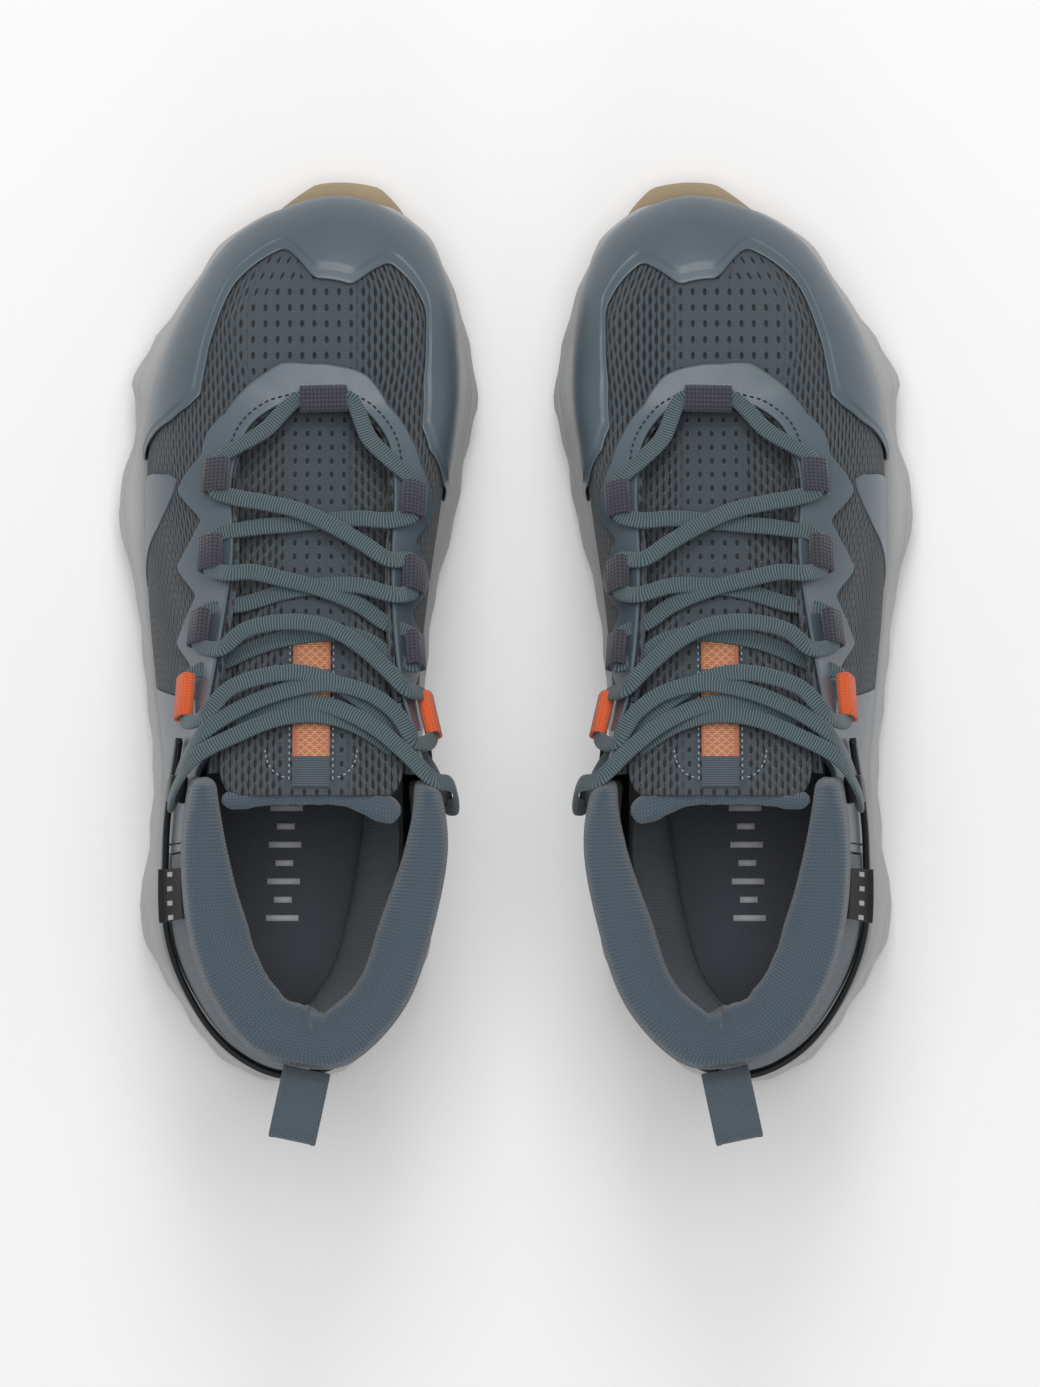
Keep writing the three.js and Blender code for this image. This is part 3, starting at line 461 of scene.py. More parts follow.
def knitFabric(name, shade, pitch=1.25):
    # small V stitches in rows, darker between the rows
    n = Nodes(name, 0.92, Sheen_Weight=0.35, Sheen_Roughness=0.45)
    u, v = n.uv()
    across = n.math("SUBTRACT", n.math("FRACT", n.math("DIVIDE", u, pitch)), 0.5)
    zig = n.math("MULTIPLY", n.math("ABSOLUTE", across), 1.1)
    rows = n.wave(n.math("ADD", v, n.math("MULTIPLY", zig, pitch)), pitch * 0.8)
    loops = n.wave(u, pitch)
    cell = n.math("MULTIPLY", rows, n.math("MULTIPLY_ADD", loops, 0.6, 0.4))
    speck = n.noise(900.0, 2.0)
    body = n.mix(cell, scaled(shade, 0.5), scaled(shade, 1.3))
    n.color(n.mix(n.math("MULTIPLY", speck, 0.35), body, scaled(shade, 0.72)))
    n.bump(cell, 0.00035, 0.8)
    return n.material


def wovenFabric(name, shade, pitch=0.9, contrast=0.5):
    # a plain weave: warp and weft waves that trade places
    n = Nodes(name, 0.9, Sheen_Weight=0.2)
    u, v = n.uv()
    warp = n.wave(u, pitch)
    weft = n.wave(v, pitch)
    over = n.wave(n.math("ADD", u, v), pitch * 2)
    under = n.math("SUBTRACT", 1.0, over)
    cell = n.math("ADD", n.math("MULTIPLY", warp, over), n.math("MULTIPLY", weft, under))
    body = n.mix(cell, scaled(shade, 1 - contrast), scaled(shade, 1 + contrast * 0.5))
    n.color(n.mix(n.math("MULTIPLY", n.noise(400.0), 0.4), body, scaled(shade, 0.8)))
    n.bump(cell, 0.0003, 0.8)
    return n.material


def ribbedWebbing(name, shade, pitch=0.95, light=1.4, slantBy=0.08):
    # ribs across a flat band, bent a little at its middle
    n = Nodes(name, 0.8, Sheen_Weight=0.25, Sheen_Roughness=0.4)
    u, v = n.uv()
    lean = n.math("MULTIPLY", n.math("ABSOLUTE", n.math("SUBTRACT", v, 3.2)), slantBy)
    ribs = n.wave(n.math("ADD", u, lean), pitch)
    yarn = n.wave(v, 0.55)
    sharp = n.step(ribs, 0.15, 0.85)
    body = n.mix(sharp, scaled(shade, 0.38), scaled(shade, light))
    body = n.mix(n.math("MULTIPLY", yarn, 0.22), body, scaled(shade, 0.6))
    n.color(n.mix(n.math("MULTIPLY", n.noise(250.0), 0.25), body, scaled(shade, 0.75)))
    n.bump(n.math("ADD", sharp, n.math("MULTIPLY", yarn, 0.15)), 0.00028, 0.9)
    return n.material


def foamRubber(name, shade, roughness=0.6, grain=0.0002):
    n = Nodes(name, roughness, Specular_IOR_Level=0.35)
    n.color(n.mix(n.noise(35.0), scaled(shade, 0.9), scaled(shade, 1.08)))
    n.roughness(n.math("MULTIPLY_ADD", n.noise(90.0), 0.16, roughness - 0.08))
    n.bump(n.noise(1300.0, 3.0), grain, 0.4)
    return n.material


def twill():
    # diagonal twill lines over a brushed ground
    n = Nodes("insoleTwill", 0.95, Sheen_Weight=0.3)
    u, v = n.uv()
    lines = n.wave(n.math("ADD", u, n.math("MULTIPLY", v, 1.0)), 1.3)
    cross = n.wave(n.math("SUBTRACT", u, v), 0.8)
    cell = n.math("MULTIPLY", lines, n.math("MULTIPLY_ADD", cross, 0.5, 0.5))
    n.color(n.mix(cell, scaled(shades["insole"], 0.62), scaled(shades["insole"], 1.35)))
    n.bump(cell, 0.0002, 0.7)
    return n.material


def stripWebbing():
    # dusty orange sections with a small tan lattice, plain slate webbing between them
    n = Nodes("stripWebbing", 0.85, Sheen_Weight=0.2)
    u, v = n.uv()
    ribs = n.wave(u, 0.9)
    dx = n.math("ABSOLUTE", n.math("SUBTRACT", n.math("FRACT", n.math("DIVIDE", u, 3.1)), 0.5))
    dy = n.math("ABSOLUTE", n.math("SUBTRACT", n.math("FRACT", n.math("DIVIDE", v, 3.1)), 0.5))
    fromLine = n.math("ABSOLUTE", n.math("SUBTRACT", n.math("ADD", dx, dy), 0.5))
    lattice = n.math("SUBTRACT", 1.0, n.step(fromLine, 0.06, 0.14))
    inside = n.step(n.math("SUBTRACT", 5.2, n.math("ABSOLUTE", n.math("SUBTRACT", v, 7.0))), 0.0, 0.3)
    tanShare = n.math("MULTIPLY", n.math("MULTIPLY", lattice, inside), 0.8)
    ground = n.mix(tanShare, shades["dustyOrange"], shades["tan"])
    plain = n.mix(ribs, scaled(shades["pull"], 0.55), scaled(shades["pull"], 1.1))

    def band(low, high):
        after = n.step(u, low - 0.15, low + 0.15)
        before = n.step(n.math("MULTIPLY", u, -1.0), -high - 0.15, 0.15 - high)
        return n.math("MULTIPLY", after, before)

    bands = n.math("ADD", n.math("ADD", band(2, 15), band(23.5, 27.5)), band(36, 50))
    colour = n.mix(bands, plain, ground)
    n.color(n.mix(n.math("MULTIPLY", n.math("SUBTRACT", 1.0, ribs), 0.35), colour, (0.03, 0.025, 0.025)))
    n.bump(ribs, 0.0002, 0.7)
    return n.material


def tagFabric():
    # black woven label with plain pale bars
    n = Nodes("tagFabric", 0.75)
    u, v = n.uv()
    bars = n.step(n.wave(u, 5.0), 0.72, 0.8)
    middle = n.math("SUBTRACT", 1.0, n.step(n.math("ABSOLUTE", n.math("SUBTRACT", v, 8.0)), 2.2, 2.5))
    weave = n.wave(v, 0.5)
    pale = n.math("MULTIPLY", bars, middle)
    colour = n.mix(pale, scaled(shades["dark"], 0.6), scaled(shades["white"], 0.8))
    n.color(n.mix(n.math("MULTIPLY", weave, 0.3), colour, (0.01, 0.01, 0.012)))
    n.bump(weave, 0.0001, 0.6)
    return n.material


materials = {
    "overlay": smoothOverlay(),
    "mesh": engineeredMesh(),
    "tongueMesh": engineeredMesh("tongueMesh", (9.0, 14.0), scaled(shades["mesh"], 0.9)),
    "knit": knitFabric("collarKnit", shades["knit"]),
    "lining": knitFabric("liningKnit", scaled(shades["knit"], 1.05), 1.1),
    "woven": wovenFabric("quarterWoven", shades["woven"], 1.1, 0.4),
    "lace": ribbedWebbing("laceWebbing", shades["lace"]),
    "loop": wovenFabric("loopWebbing", shades["loop"], 1.3, 0.75),
    "pull": wovenFabric("pullWebbing", shades["pull"], 0.9, 0.4),
    "orange": wovenFabric("strapWebbing", shades["orange"], 1.0, 0.35),
    "strip": stripWebbing(),
    "midsole": foamRubber("midsoleFoam", shades["midsole"]),
    "outsole": foamRubber("outsoleRubber", shades["outsole"], 0.75, 0.00025),
    "board": foamRubber("lastingBoard", srgb(138, 133, 120), 0.9),
    "counter": foamRubber("heelCounter", srgb(80, 84, 90), 0.8),
    "insole": twill(),
    "dark": foamRubber("darkPlastic", shades["dark"], 0.38, 0.00006),
    "tag": tagFabric(),
    "thread": foamRubber("thread", srgb(150, 160, 165), 0.8),
    "darkThread": foamRubber("darkThread", srgb(44, 50, 54), 0.85),
    "print": foamRubber("palePrint", shades["white"], 0.7),
}
print("materials made")


# Uppers.
layers = {"overlay": 1.2, "shell": 1.8, "gap": 0.85}
shellOuter = -(layers["overlay"] + layers["gap"])
shellInner = shellOuter - layers["shell"]
seams = {"lateral": 3.9, "medial": 22.1, "vampLateral": 6.0, "vampMedial": 20.0, "gap": 0.012}
collarFront = 4.95


def shellTop(k):
    turn = np.where(k > last["toe"], stationCount - k, k)
    return lerp(0.8, 1.0, smooth(collarFront + 0.02, collarFront + 0.42, turn))


def shellPiece(name, side, start, end, material, count, uvOf=girthUv, node=None):
    k = np.linspace(start, end, count)
    rings = panelRings(k, np.full(count, 0.0), shellTop(k), shellInner, shellOuter, 44)
    return surface(name, rings, materials[material], side, closeV=True, caps=True, uvOf=uvOf,
                   replaced=[node or name])


toeCapEdge = [
    [8.7, 0.1], [9.02, 0.29], [9.54, 0.54], [9.94, 0.65], [10.26, 0.69], [10.66, 0.63], [11.04, 0.56],
    [11.36, 0.51], [11.8, 0.43], [12.2, 0.4], [12.5, 0.39], [12.84, 0.55], [13.34, 0.57], [13.56, 0.5],
    [13.8, 0.43], [14.2, 0.45], [14.56, 0.48], [14.76, 0.57], [15.18, 0.7], [15.84, 0.8], [16.38, 0.76],
    [17.3, 0.53], [17.9, 0.2],
]
eyestayEdge = [
    [5.6, 0.86], [6.2, 0.8], [6.45, 0.74], [6.68, 0.6], [7.36, 0.76], [7.62, 0.6], [8.36, 0.8],
    [8.62, 0.64], [9.3, 0.81], [9.66, 0.81], [10.2, 0.86], [11.5, 0.83], [12.06, 0.82], [12.7, 0.85],
    [13.34, 0.86], [14.12, 0.86], [14.98, 0.9], [15.96, 0.88], [16.56, 0.83], [17.56, 0.66], [17.78, 0.83],
    [18.6, 0.57], [18.84, 0.83], [19.58, 0.55], [19.84, 0.8], [20.4, 0.86],
]
# The film wedge low on the lateral side: station, lower edge, upper edge.
wedge = [
    [7.2, 0.01, 0.05], [7.6, 0.01, 0.22], [8.0, 0.01, 0.4], [8.35, 0.05, 0.52], [8.6, 0.3, 0.59], [8.78, 0.56, 0.62],
]


def toeCap(side):
    # two steps: the film's edge, and a second raised layer a little inside it
    k = np.linspace(toeCapEdge[0][0], toeCapEdge[-1][0], 420)
    tHigh = roundedTable(toeCapEdge, k, 0.07)
    low, high = endsRounded(k, np.full(len(k), 0.002), tHigh)
    rings = panelRings(k, low, high, -layers["overlay"], -0.45, 60, 0.8,
                       raised=lambda kk, t, d: 0.55 * smooth(3.6, 4.6, d))
    surface("toe_cap", rings, materials["overlay"], side, closeV=True, caps=True, replaced=["toe_cap"])


def eyestay(side):
    k = np.linspace(eyestayEdge[0][0], eyestayEdge[-1][0], 560)
    tLow = roundedTable(eyestayEdge, k)
    rings = panelRings(k, tLow, np.full(len(k), 0.998), -layers["overlay"], 0.0, 18, 0.8)
    surface("eyestay", rings, materials["overlay"], side, closeV=True, caps=True, replaced=["eyestay"])


def filmWedge(side):
    table = np.array(wedge)
    k = np.linspace(table[0, 0], table[-1, 0], 60)
    low, high = roundedTable(table[:, :2], k), roundedTable(table[:, [0, 2]], k)
    rings = panelRings(k, low, high, shellOuter, shellOuter + 0.5, 14, 0.5)
    surface("side_film", rings, materials["overlay"], side, closeV=True, caps=True, slotName="smooth_overlay")


def stitchRow(name, side, path, normals, length, width, gap, material, body="boots", slotName=None):
    # short flat stitches laid end to end along a path: each one a low six-sided bead
    step = np.linalg.norm(np.diff(path, axis=0), axis=-1)
    at = np.r_[0, np.cumsum(step)]
    centres = np.arange(length, at[-1] - length, length + gap)
    point = np.stack([np.interp(centres, at, path[:, i]) for i in range(3)], -1)
    ahead = np.stack([np.interp(centres + 0.3, at, path[:, i]) for i in range(3)], -1)
    normal = unit(np.stack([np.interp(centres, at, normals[:, i]) for i in range(3)], -1))
    tangent = unit(ahead - point)
    across = np.cross(tangent, normal)
    ends = np.array([-0.5, -0.3, 0.3, 0.5]) * length
    size = np.array([0.35, 1, 1, 0.35])
    angle = np.arange(6) * np.pi / 3
    spread = size[:, None, None] * width / 2
    height = size[:, None, None] * width * 0.4
    shape = (
        point[:, None, None]
        + tangent[:, None, None] * ends[None, :, None, None]
        + across[:, None, None] * (np.cos(angle)[:, None] * spread)[None]
        + normal[:, None, None] * (np.sin(angle)[:, None] * height)[None]
    )
    block, uvBlock = gridFaces(shape[0], closeV=True, caps=True)
    count = len(centres)
    faces = [(np.arange(count)[:, None, None] * 24 + f[None]).reshape(-1, 4) for f in block]
    uvs = [np.tile(u, (count, 1, 1)) for u in uvBlock]
    if not facesOut(shape[0], block):
        faces = [f[:, ::-1] for f in faces]
    return addMesh(name, shape, faces, uvs, materials[material], side, body=body, slotName=slotName)


def stitching(side):
    k = np.linspace(9.4, 16.8, 200)
    path = offsetPoint(k, np.full(200, 0.955), 0.12)
    normals = upperFrame(k, np.full(200, 0.955))[3]
    stitchRow("throat_stitching", side, path, normals, 1.5, 0.65, 0.9, "darkThread", slotName="loop_webbing")
    for sideName, seam in (("lateral", seams["lateral"] + 0.12), ("medial", seams["medial"] - 0.12)):
        t = np.linspace(0.1, 0.77, 120)
        kk = np.full(120, seam)
        stitchRow(f"{sideName}_seam_stitching", side, offsetPoint(kk, t, shellOuter + 0.08),
                  upperFrame(kk, t)[3], 1.7, 0.6, 0.9, "darkThread", slotName="loop_webbing")


for side in ("left", "right"):
    shellPiece("vamp", side, seams["vampLateral"], seams["vampMedial"], "mesh", 300)
    gap = seams["gap"]
    shellPiece("lateral_quarter", side, seams["lateral"] + gap, seams["vampLateral"] - gap, "overlay", 60)
    shellPiece("medial_quarter", side, seams["vampMedial"] + gap, seams["medial"] - gap, "overlay", 60)
    heelEnd = seams["lateral"] + stationCount - gap
    shellPiece("heel_panel", side, seams["medial"] + gap, heelEnd, "woven", 200, None)
    toeCap(side)
    eyestay(side)
    filmWedge(side)
    stitching(side)
print("uppers made")

# Collar and lining.
collarShape = {
    "widths": [[20, 4], [21, 6.5], [22, 12.5], [23, 16], [24, 16], [25, 17], [26, 18.5], [27, 18.5], [28, 18],
               [29, 17.5], [30, 13], [31, 6.5]],
    "rise": 6.0,
    "swell": 1.2,
    "counterOuter": shellInner - layers["gap"],
    "counterInner": shellInner - layers["gap"] - 1.8,
    "puckers": 0.3,
    "liningSwell": [
        [13, 4.5], [20, 6], [21.5, 11], [23, 15], [24.5, 15], [25.3, 13], [26, 9], [27, 6.5], [29, 5], [31, 4.5],
        [39, 4.5],
    ],
}


def closedSpline(control, perSpan):
    # closed Catmull-Rom across the second axis of an array of control points
    count = control.shape[1]
    u = np.linspace(0, count, count * perSpan, endpoint=False)
    base = np.floor(u).astype(int)
    f = (u - base)[None, :, None]
    a, b, c, d = (control[:, (base + i) % count] for i in (-1, 0, 1, 2))
    return 0.5 * (2 * b + (c - a) * f + (2 * a - 5 * b + 4 * c - d) * f**2 + (3 * b - a - 3 * c + d) * f**3)


def collar(side):
    # a padded roll over the topline with its lining below, fullest at the heel and puckered inside it
    s = collarShape
    k = np.linspace(stationCount - collarFront, collarFront + stationCount, 260)
    fromEnd = np.minimum(k - k[0], k[-1] - k)
    endRound = np.sqrt(np.clip(1 - (1 - np.clip(fromEnd / 0.16, 0, 1)) ** 2, 0.02, 1))
    width = curveTable(s["widths"], k)
    top, out = topPoint(k), outward(k)

    def over(reach, rise):
        return top + out * (reach * np.ones_like(k))[:, None] + upAxis * (rise * np.ones_like(k))[:, None]

    def at(t, distance):
        return offsetPoint(k, np.full(len(k), t), distance * np.ones_like(k))

    section = np.stack([
        at(0.795, shellOuter - 0.2), at(0.81, -0.3), at(0.88, s["swell"] * 0.9), over(s["swell"], -2),
        over(0.1, 0.6 * s["rise"]), over(-0.33 * width, s["rise"]), over(-0.72 * width, 0.72 * s["rise"]),
        over(-width, -1.5), at(0.84, -width), at(0.62, -np.maximum(0.8 * width, -s["counterInner"])),
        at(0.46, s["counterInner"] - 0.2), at(0.42, s["counterInner"] + 0.4), at(0.43, s["counterOuter"]),
        at(0.6, s["counterOuter"]), at(0.78, s["counterOuter"]),
    ], 1)
    ring = closedSpline(section, 7)
    middle = ring.mean(1, keepdims=True)
    ring = middle + (ring - middle) * np.where(fromEnd < 0.16, 0.55 + 0.45 * endRound, 1)[:, None, None]
    place = np.arange(ring.shape[1]) / 7
    inside = np.exp(-(((place - 7.2) / 1.5) ** 2))[None, :]
    heel = smooth(23.2, 24.6, k)[:, None] * smooth(29.2, 27.6, k)[:, None]
    pleat = np.sin(k * 9.0) + 0.4 * np.sin(k * 17.0 + 1.3)
    pucker = s["puckers"] * inside * heel * pleat[:, None]
    outerSoft = 0.18 * np.sin(k * 5.2)[:, None] * np.exp(-(((place - 4.5) / 1.6) ** 2))[None, :]
    ring = ring + unit(ring - middle) * (pucker + outerSoft)[..., None]
    piece = surface("collar", ring, materials["knit"], side, closeV=True, caps=False, replaced=["collar"])
    capEnds(piece)


def capEnds(piece):
    # closes both open ends of a tube of rings
    shell = bmesh.new()
    shell.from_mesh(piece.data)
    edges = [edge for edge in shell.edges if edge.is_boundary]
    bmesh.ops.holes_fill(shell, edges=edges, sides=0)
    bmesh.ops.triangulate(shell, faces=[face for face in shell.faces if len(face.verts) > 4])
    bmesh.ops.recalc_face_normals(shell, faces=shell.faces)
    shell.to_mesh(piece.data)
    shell.free()
    piece.data.polygons.foreach_set("use_smooth", np.ones(len(piece.data.polygons), bool))


def lining(side):
    # a thin inner skin from the insole up under the collar and the eyestay
    k = np.linspace(0, stationCount, 240, endpoint=False)
    turn = np.where(k > last["toe"], stationCount - k, k)
    throat = smooth(4.6, 6.2, turn)
    top = lerp(0.5, 0.975, throat)
    t = np.linspace(0.03, 1, 26)[None, :] * top[:, None]
    depth = lerp(-6.75, -4.35, throat)[:, None] * np.ones_like(t)
    fromMedial = np.where(k < last["toe"], k + stationCount, k)
    swell = curveTable(collarShape["liningSwell"], fromMedial) * (1 - throat)
    foot = smooth(0.03, 0.13, t)
    depth = depth - foot * lerp(swell[:, None], 5.0 * (1 - throat)[:, None], smooth(0.14, 0.5, t))
    outer = offsetPoint(k[:, None], t, depth)
    inner = offsetPoint(k[:, None], t, depth - 0.5)
    rings = np.concatenate([outer, inner[:, ::-1]], 1)
    surface("lining", rings, materials["lining"], side, closeU=True, closeV=True, slotName="knit_lining")


for side in ("left", "right"):
    collar(side)
    lining(side)
print("collars made")

# Tongue.
tongueShape = {
    "front": (238, 61),
    "top": (96, 150),
    "middle": -1.5,
    "halfWidths": [
        [0, 21], [0.3, 25], [0.58, 24], [0.76, 26], [0.86, 29.5], [0.92, 30.5], [0.97, 28.5], [1, 24.5],
    ],
    "thickness": (5, 9),
    "sag": 7,
    "strip": (12.5, 0.8),
    "rollRadius": 4.6,
}


def tongueThickness(v):
    return lerp(tongueShape["thickness"][0], tongueShape["thickness"][1], smooth(0.75, 0.95, v))


def tonguePoint(u, v, rise):
    v = np.asarray(v, float)
    half = curveTable(tongueShape["halfWidths"], v)
    y = lerp(tongueShape["front"][0], tongueShape["top"][0], v)
    z = lerp(tongueShape["front"][1], tongueShape["top"][1], v)
    x = tongueShape["middle"] + u * half
    x, y, z = np.broadcast_arrays(x, y, z - tongueShape["sag"] * np.asarray(u) ** 2 + rise)
    return np.stack([x, y, z], -1)


def tongue(side):
    # a padded sheet: full in the middle, thin at its edges, with two sewn channels beside the strip
    v = np.linspace(0, 0.985, 150)[:, None]
    u = np.sin(np.linspace(-1, 1, 70) * np.pi / 2)[None, :]
    half = tongueThickness(v) / 2
    plump = np.sqrt(np.clip(1 - np.abs(u) ** 6, 0.02, 1))
    x = tonguePoint(u, v[:, 0][:, None] + 0 * u, 0)[..., 0] - tongueShape["middle"]
    channel = np.exp(-(((np.abs(x) - 7.6) / 0.9) ** 2)) * smooth(0.6, 0.68, v)
    arc = np.hypot(x / 22, (v - 1.02) / 0.2)
    quilt = np.exp(-(((arc - 1) / 0.05) ** 2)) * smooth(0.76, 0.8, v)
    rise = half * plump - 0.9 * channel - 0.9 * quilt + 0.25 * np.sin(v * 60) * np.cos(x / 7) * plump
    top = tonguePoint(u, v + 0 * u, rise)
    low = tonguePoint(u, v + 0 * u, -half * plump)
    rings = np.concatenate([top, low[:, ::-1]], 1)
    piece = surface("tongue", rings, materials["tongueMesh"], side, closeV=True, caps=True,
                    uvOf=lambda p: np.stack([p[..., 0], p[..., 1] * 1.17], -1), body="tongue",
                    replaced=["tongue"])
    tongueRoll(side)


def tongueRoll(side):
    # the knit binding that rolls over the tongue's top end, plumper towards the medial side
    u = np.linspace(-1, 1, 90)
    angle = np.linspace(0, 2 * np.pi, 28, endpoint=False)
    taper = np.sqrt(np.clip(1 - np.abs(u) ** 8, 0.05, 1))
    plump = 0.62 + 0.55 * smooth(0.35, 0.95, u) + 0.2 * smooth(0.5, 0.95, -u)
    radius = tongueShape["rollRadius"] * plump * taper
    centre = tonguePoint(u * 1.12, np.full(len(u), 0.985), 0)
    centre[:, 1] -= 5.0 * smooth(0.2, 1, u) + 1.5 * smooth(0.3, 1, -u)
    slope = unit(np.array([0, -142.0, 89.0]))
    normal = unit(np.array([0, 89.0, 142.0]))
    wrinkle = 1 + 0.03 * np.sin(u[:, None] * 31 + 3 * np.sin(angle)[None, :])
    rings = (
        centre[:, None]
        + slope * (np.cos(angle)[None, :] * radius[:, None] * 1.15 * wrinkle)[..., None]
        + normal * (np.sin(angle)[None, :] * radius[:, None] * 0.98 * wrinkle)[..., None]
    )
    piece = surface("tongue_roll", rings, materials["knit"], side, closeV=True, caps=True, body="tongue",
                    slotName="knit_lining")


def gusset(side, sign):
    # the folded sheet that joins the tongue's edge to the upper's inside, from the throat to the collar
    v = np.linspace(0.06, 0.93, 70)
    edge = tonguePoint(np.full(70, 0.86 * sign), v, -tongueThickness(v) / 2 - 0.8)
    k = np.array([np.interp(y, *wallAt(sign)) for y in edge[:, 1]])
    wall = offsetPoint(k, np.full(70, 0.95), np.full(70, -4.6))
    u = np.linspace(0, 1, 12)[None, :, None]
    sheet = edge[:, None] * (1 - u) + wall[:, None] * u
    sheet[..., 2] -= 2.5 * np.sin(np.pi * u[..., 0])
    rings = np.concatenate([sheet, sheet[:, ::-1] - upAxis * 0.8], 1)
    name = "lateral" if sign < 0 else "medial"
    surface(f"{name}_gusset", rings, materials["tongueMesh"], side, closeV=True, caps=True,
            slotName="engineered_mesh", uvOf=lambda p: p[..., :2] * 1.0)


def wallAt(sign):
    # the throat edge's y and station, with y rising, on the lateral or the medial side
    k = np.linspace(4.6, 12, 160) if sign < 0 else np.linspace(21.4, 14, 160)
    return topPoint(k)[:, 1], k


def tongueStrip(side):
    width, thickness = tongueShape["strip"]
    v = np.linspace(0.6, 0.965, 90)
    low = tongueThickness(v) / 2 + 0.15
    edge = np.array([-1, -0.985, 0.985, 1]) * width / 2
    lift = np.array([0.45, 1, 1, 0.45])
    top = tonguePoint(0, v[:, None] + 0 * edge, low[:, None] + thickness * lift[None, :])
    bottom = tonguePoint(0, v[:, None] + 0 * edge, low[:, None] + 0 * edge)
    top[..., 0] += edge
    bottom[..., 0] += edge
    rings = np.concatenate([top, bottom[:, ::-1]], 1)
    surface("tongue_strip", rings, materials["strip"], side, closeV=True, caps=True, body="tongue",
            replaced=["tongue_strip"])
    for sign, sideName in ((-1, "lateral"), (1, "medial")):
        path = tonguePoint(0, v, low + 0.1)
        path[:, 0] += sign * (width / 2 + 1.0)
        normals = np.broadcast_to(unit(np.array([0, 0.53, 0.85])), path.shape)
        stitchRow(f"strip_stitching_{sideName}", side, path, normals, 1.3, 0.55, 1.2, "thread", "tongue", "lace")
        # a quarter turn of stitches from the strip's edge out over the tongue's top end
        turn = np.linspace(0, np.pi / 2, 40)
        arcV = 0.875 + 0.068 * np.sin(turn)
        arcX = sign * (width / 2 + 1.6 + 7.5 * np.cos(turn))
        arcU = arcX / curveTable(tongueShape["halfWidths"], arcV)
        path = tonguePoint(arcU, arcV, tongueThickness(arcV) / 2 + 0.25)
        normals = np.broadcast_to(unit(np.array([0, 0.53, 0.85])), path.shape)
        stitchRow(f"arc_stitching_{sideName}", side, path, normals, 1.2, 0.55, 1.0, "thread", "tongue", "lace")


for side in ("left", "right"):
    tongue(side)
    tongueStrip(side)
    gusset(side, -1)
    gusset(side, 1)
print("tongues made")

# Lace, loops and hooks.
laceShape = {
    "width": 6.0, "thickness": 1.7, "clearance": 0.7, "wall": 1.0, "cadWidth": 5.5, "cadThickness": 1.8,
}
tunnelHeight = laceShape["cadThickness"] + 2 * laceShape["clearance"]
tunnelWidth = laceShape["cadWidth"] + 2 * laceShape["clearance"]
loopSeat = layers["gap"]
bareSeat = shellOuter + layers["gap"]
loops = {
    "front_lace_loop": (13, 0.93, 16, loopSeat, 6.0),
    "lace_loop_lateral_1": (9, 0.94, 12, loopSeat, 0),
    "lace_loop_lateral_2": (7.9, 0.9, 12, loopSeat, 0),
    "lace_loop_lateral_3": (6.92, 0.88, 12, loopSeat, 0),
    "lace_loop_medial_1": (17.2, 0.92, 12, loopSeat, 0),
    "lace_loop_medial_2": (18.32, 0.9, 12, loopSeat, 0),
    "lace_loop_medial_3": (19.38, 0.91, 12, loopSeat, 0),
    "heel_strap_loop_lateral": (6.0, 0.82, 15, loopSeat, 0),
    "heel_strap_loop_medial": (20.25, 0.82, 15, loopSeat, 0),
}
hooks = {
    "top_hook_lateral": (4.75, 0.7, 9, bareSeat, 0),
    "top_hook_medial": (21.25, 0.7, 9, bareSeat, 0),
}


def heldFrame(place, wall):
    # station, t, length, seat above the surface, and a shift up the surface
    k, t, length, seat, shift = place
    point, along, up, out = upperFrame(k, t)
    base = point + out * seat + up * shift
    return base, along, up, out, base + out * (wall + tunnelHeight / 2), length


def webbingLoop(name, side, place, material):
    # a band of webbing bent into a rounded tunnel
    base, along, up, out, centre, length = heldFrame(place, laceShape["wall"])
    wall = laceShape["wall"]
    angle = np.linspace(0, 2 * np.pi, 56, endpoint=False)
    wide, high = tunnelWidth / 2 + wall / 2, tunnelHeight / 2 + wall / 2
    power = 0.62
    cx = np.sign(np.cos(angle)) * np.abs(np.cos(angle)) ** power
    cz = np.sign(np.sin(angle)) * np.abs(np.sin(angle)) ** power
    half = length / 2
    profile = np.array([[-half, -0.3], [-half + 0.25, -0.5], [half - 0.25, -0.5], [half, -0.3],
                        [half, 0.3], [half - 0.25, 0.5], [-half + 0.25, 0.5], [-half, 0.3]])
    r = profile[:, 1] * wall
    rings = (
        centre
        + up * (cx[:, None] * (wide + r)[None, :])[..., None]
        + out * (cz[:, None] * (high + r)[None, :])[..., None]
        + along * np.broadcast_to(profile[:, 0], (len(angle), 8))[..., None]
    )
    surface(name, rings, materials[material], side, closeU=True, closeV=True, replaced=[name])
    if "strap" not in name:
        # the pale stitched line that holds the webbing down on its outer side
        reach = np.linspace(-half + 0.2, half - 0.2, 12)[:, None]
        path = base - up * (wide + 1.5) + along * reach + out * 0.25
        stitchRow(f"{name}_stitching", side, path, np.broadcast_to(out, path.shape), 1.1, 0.6, 0.5, "thread",
                  slotName="lace")


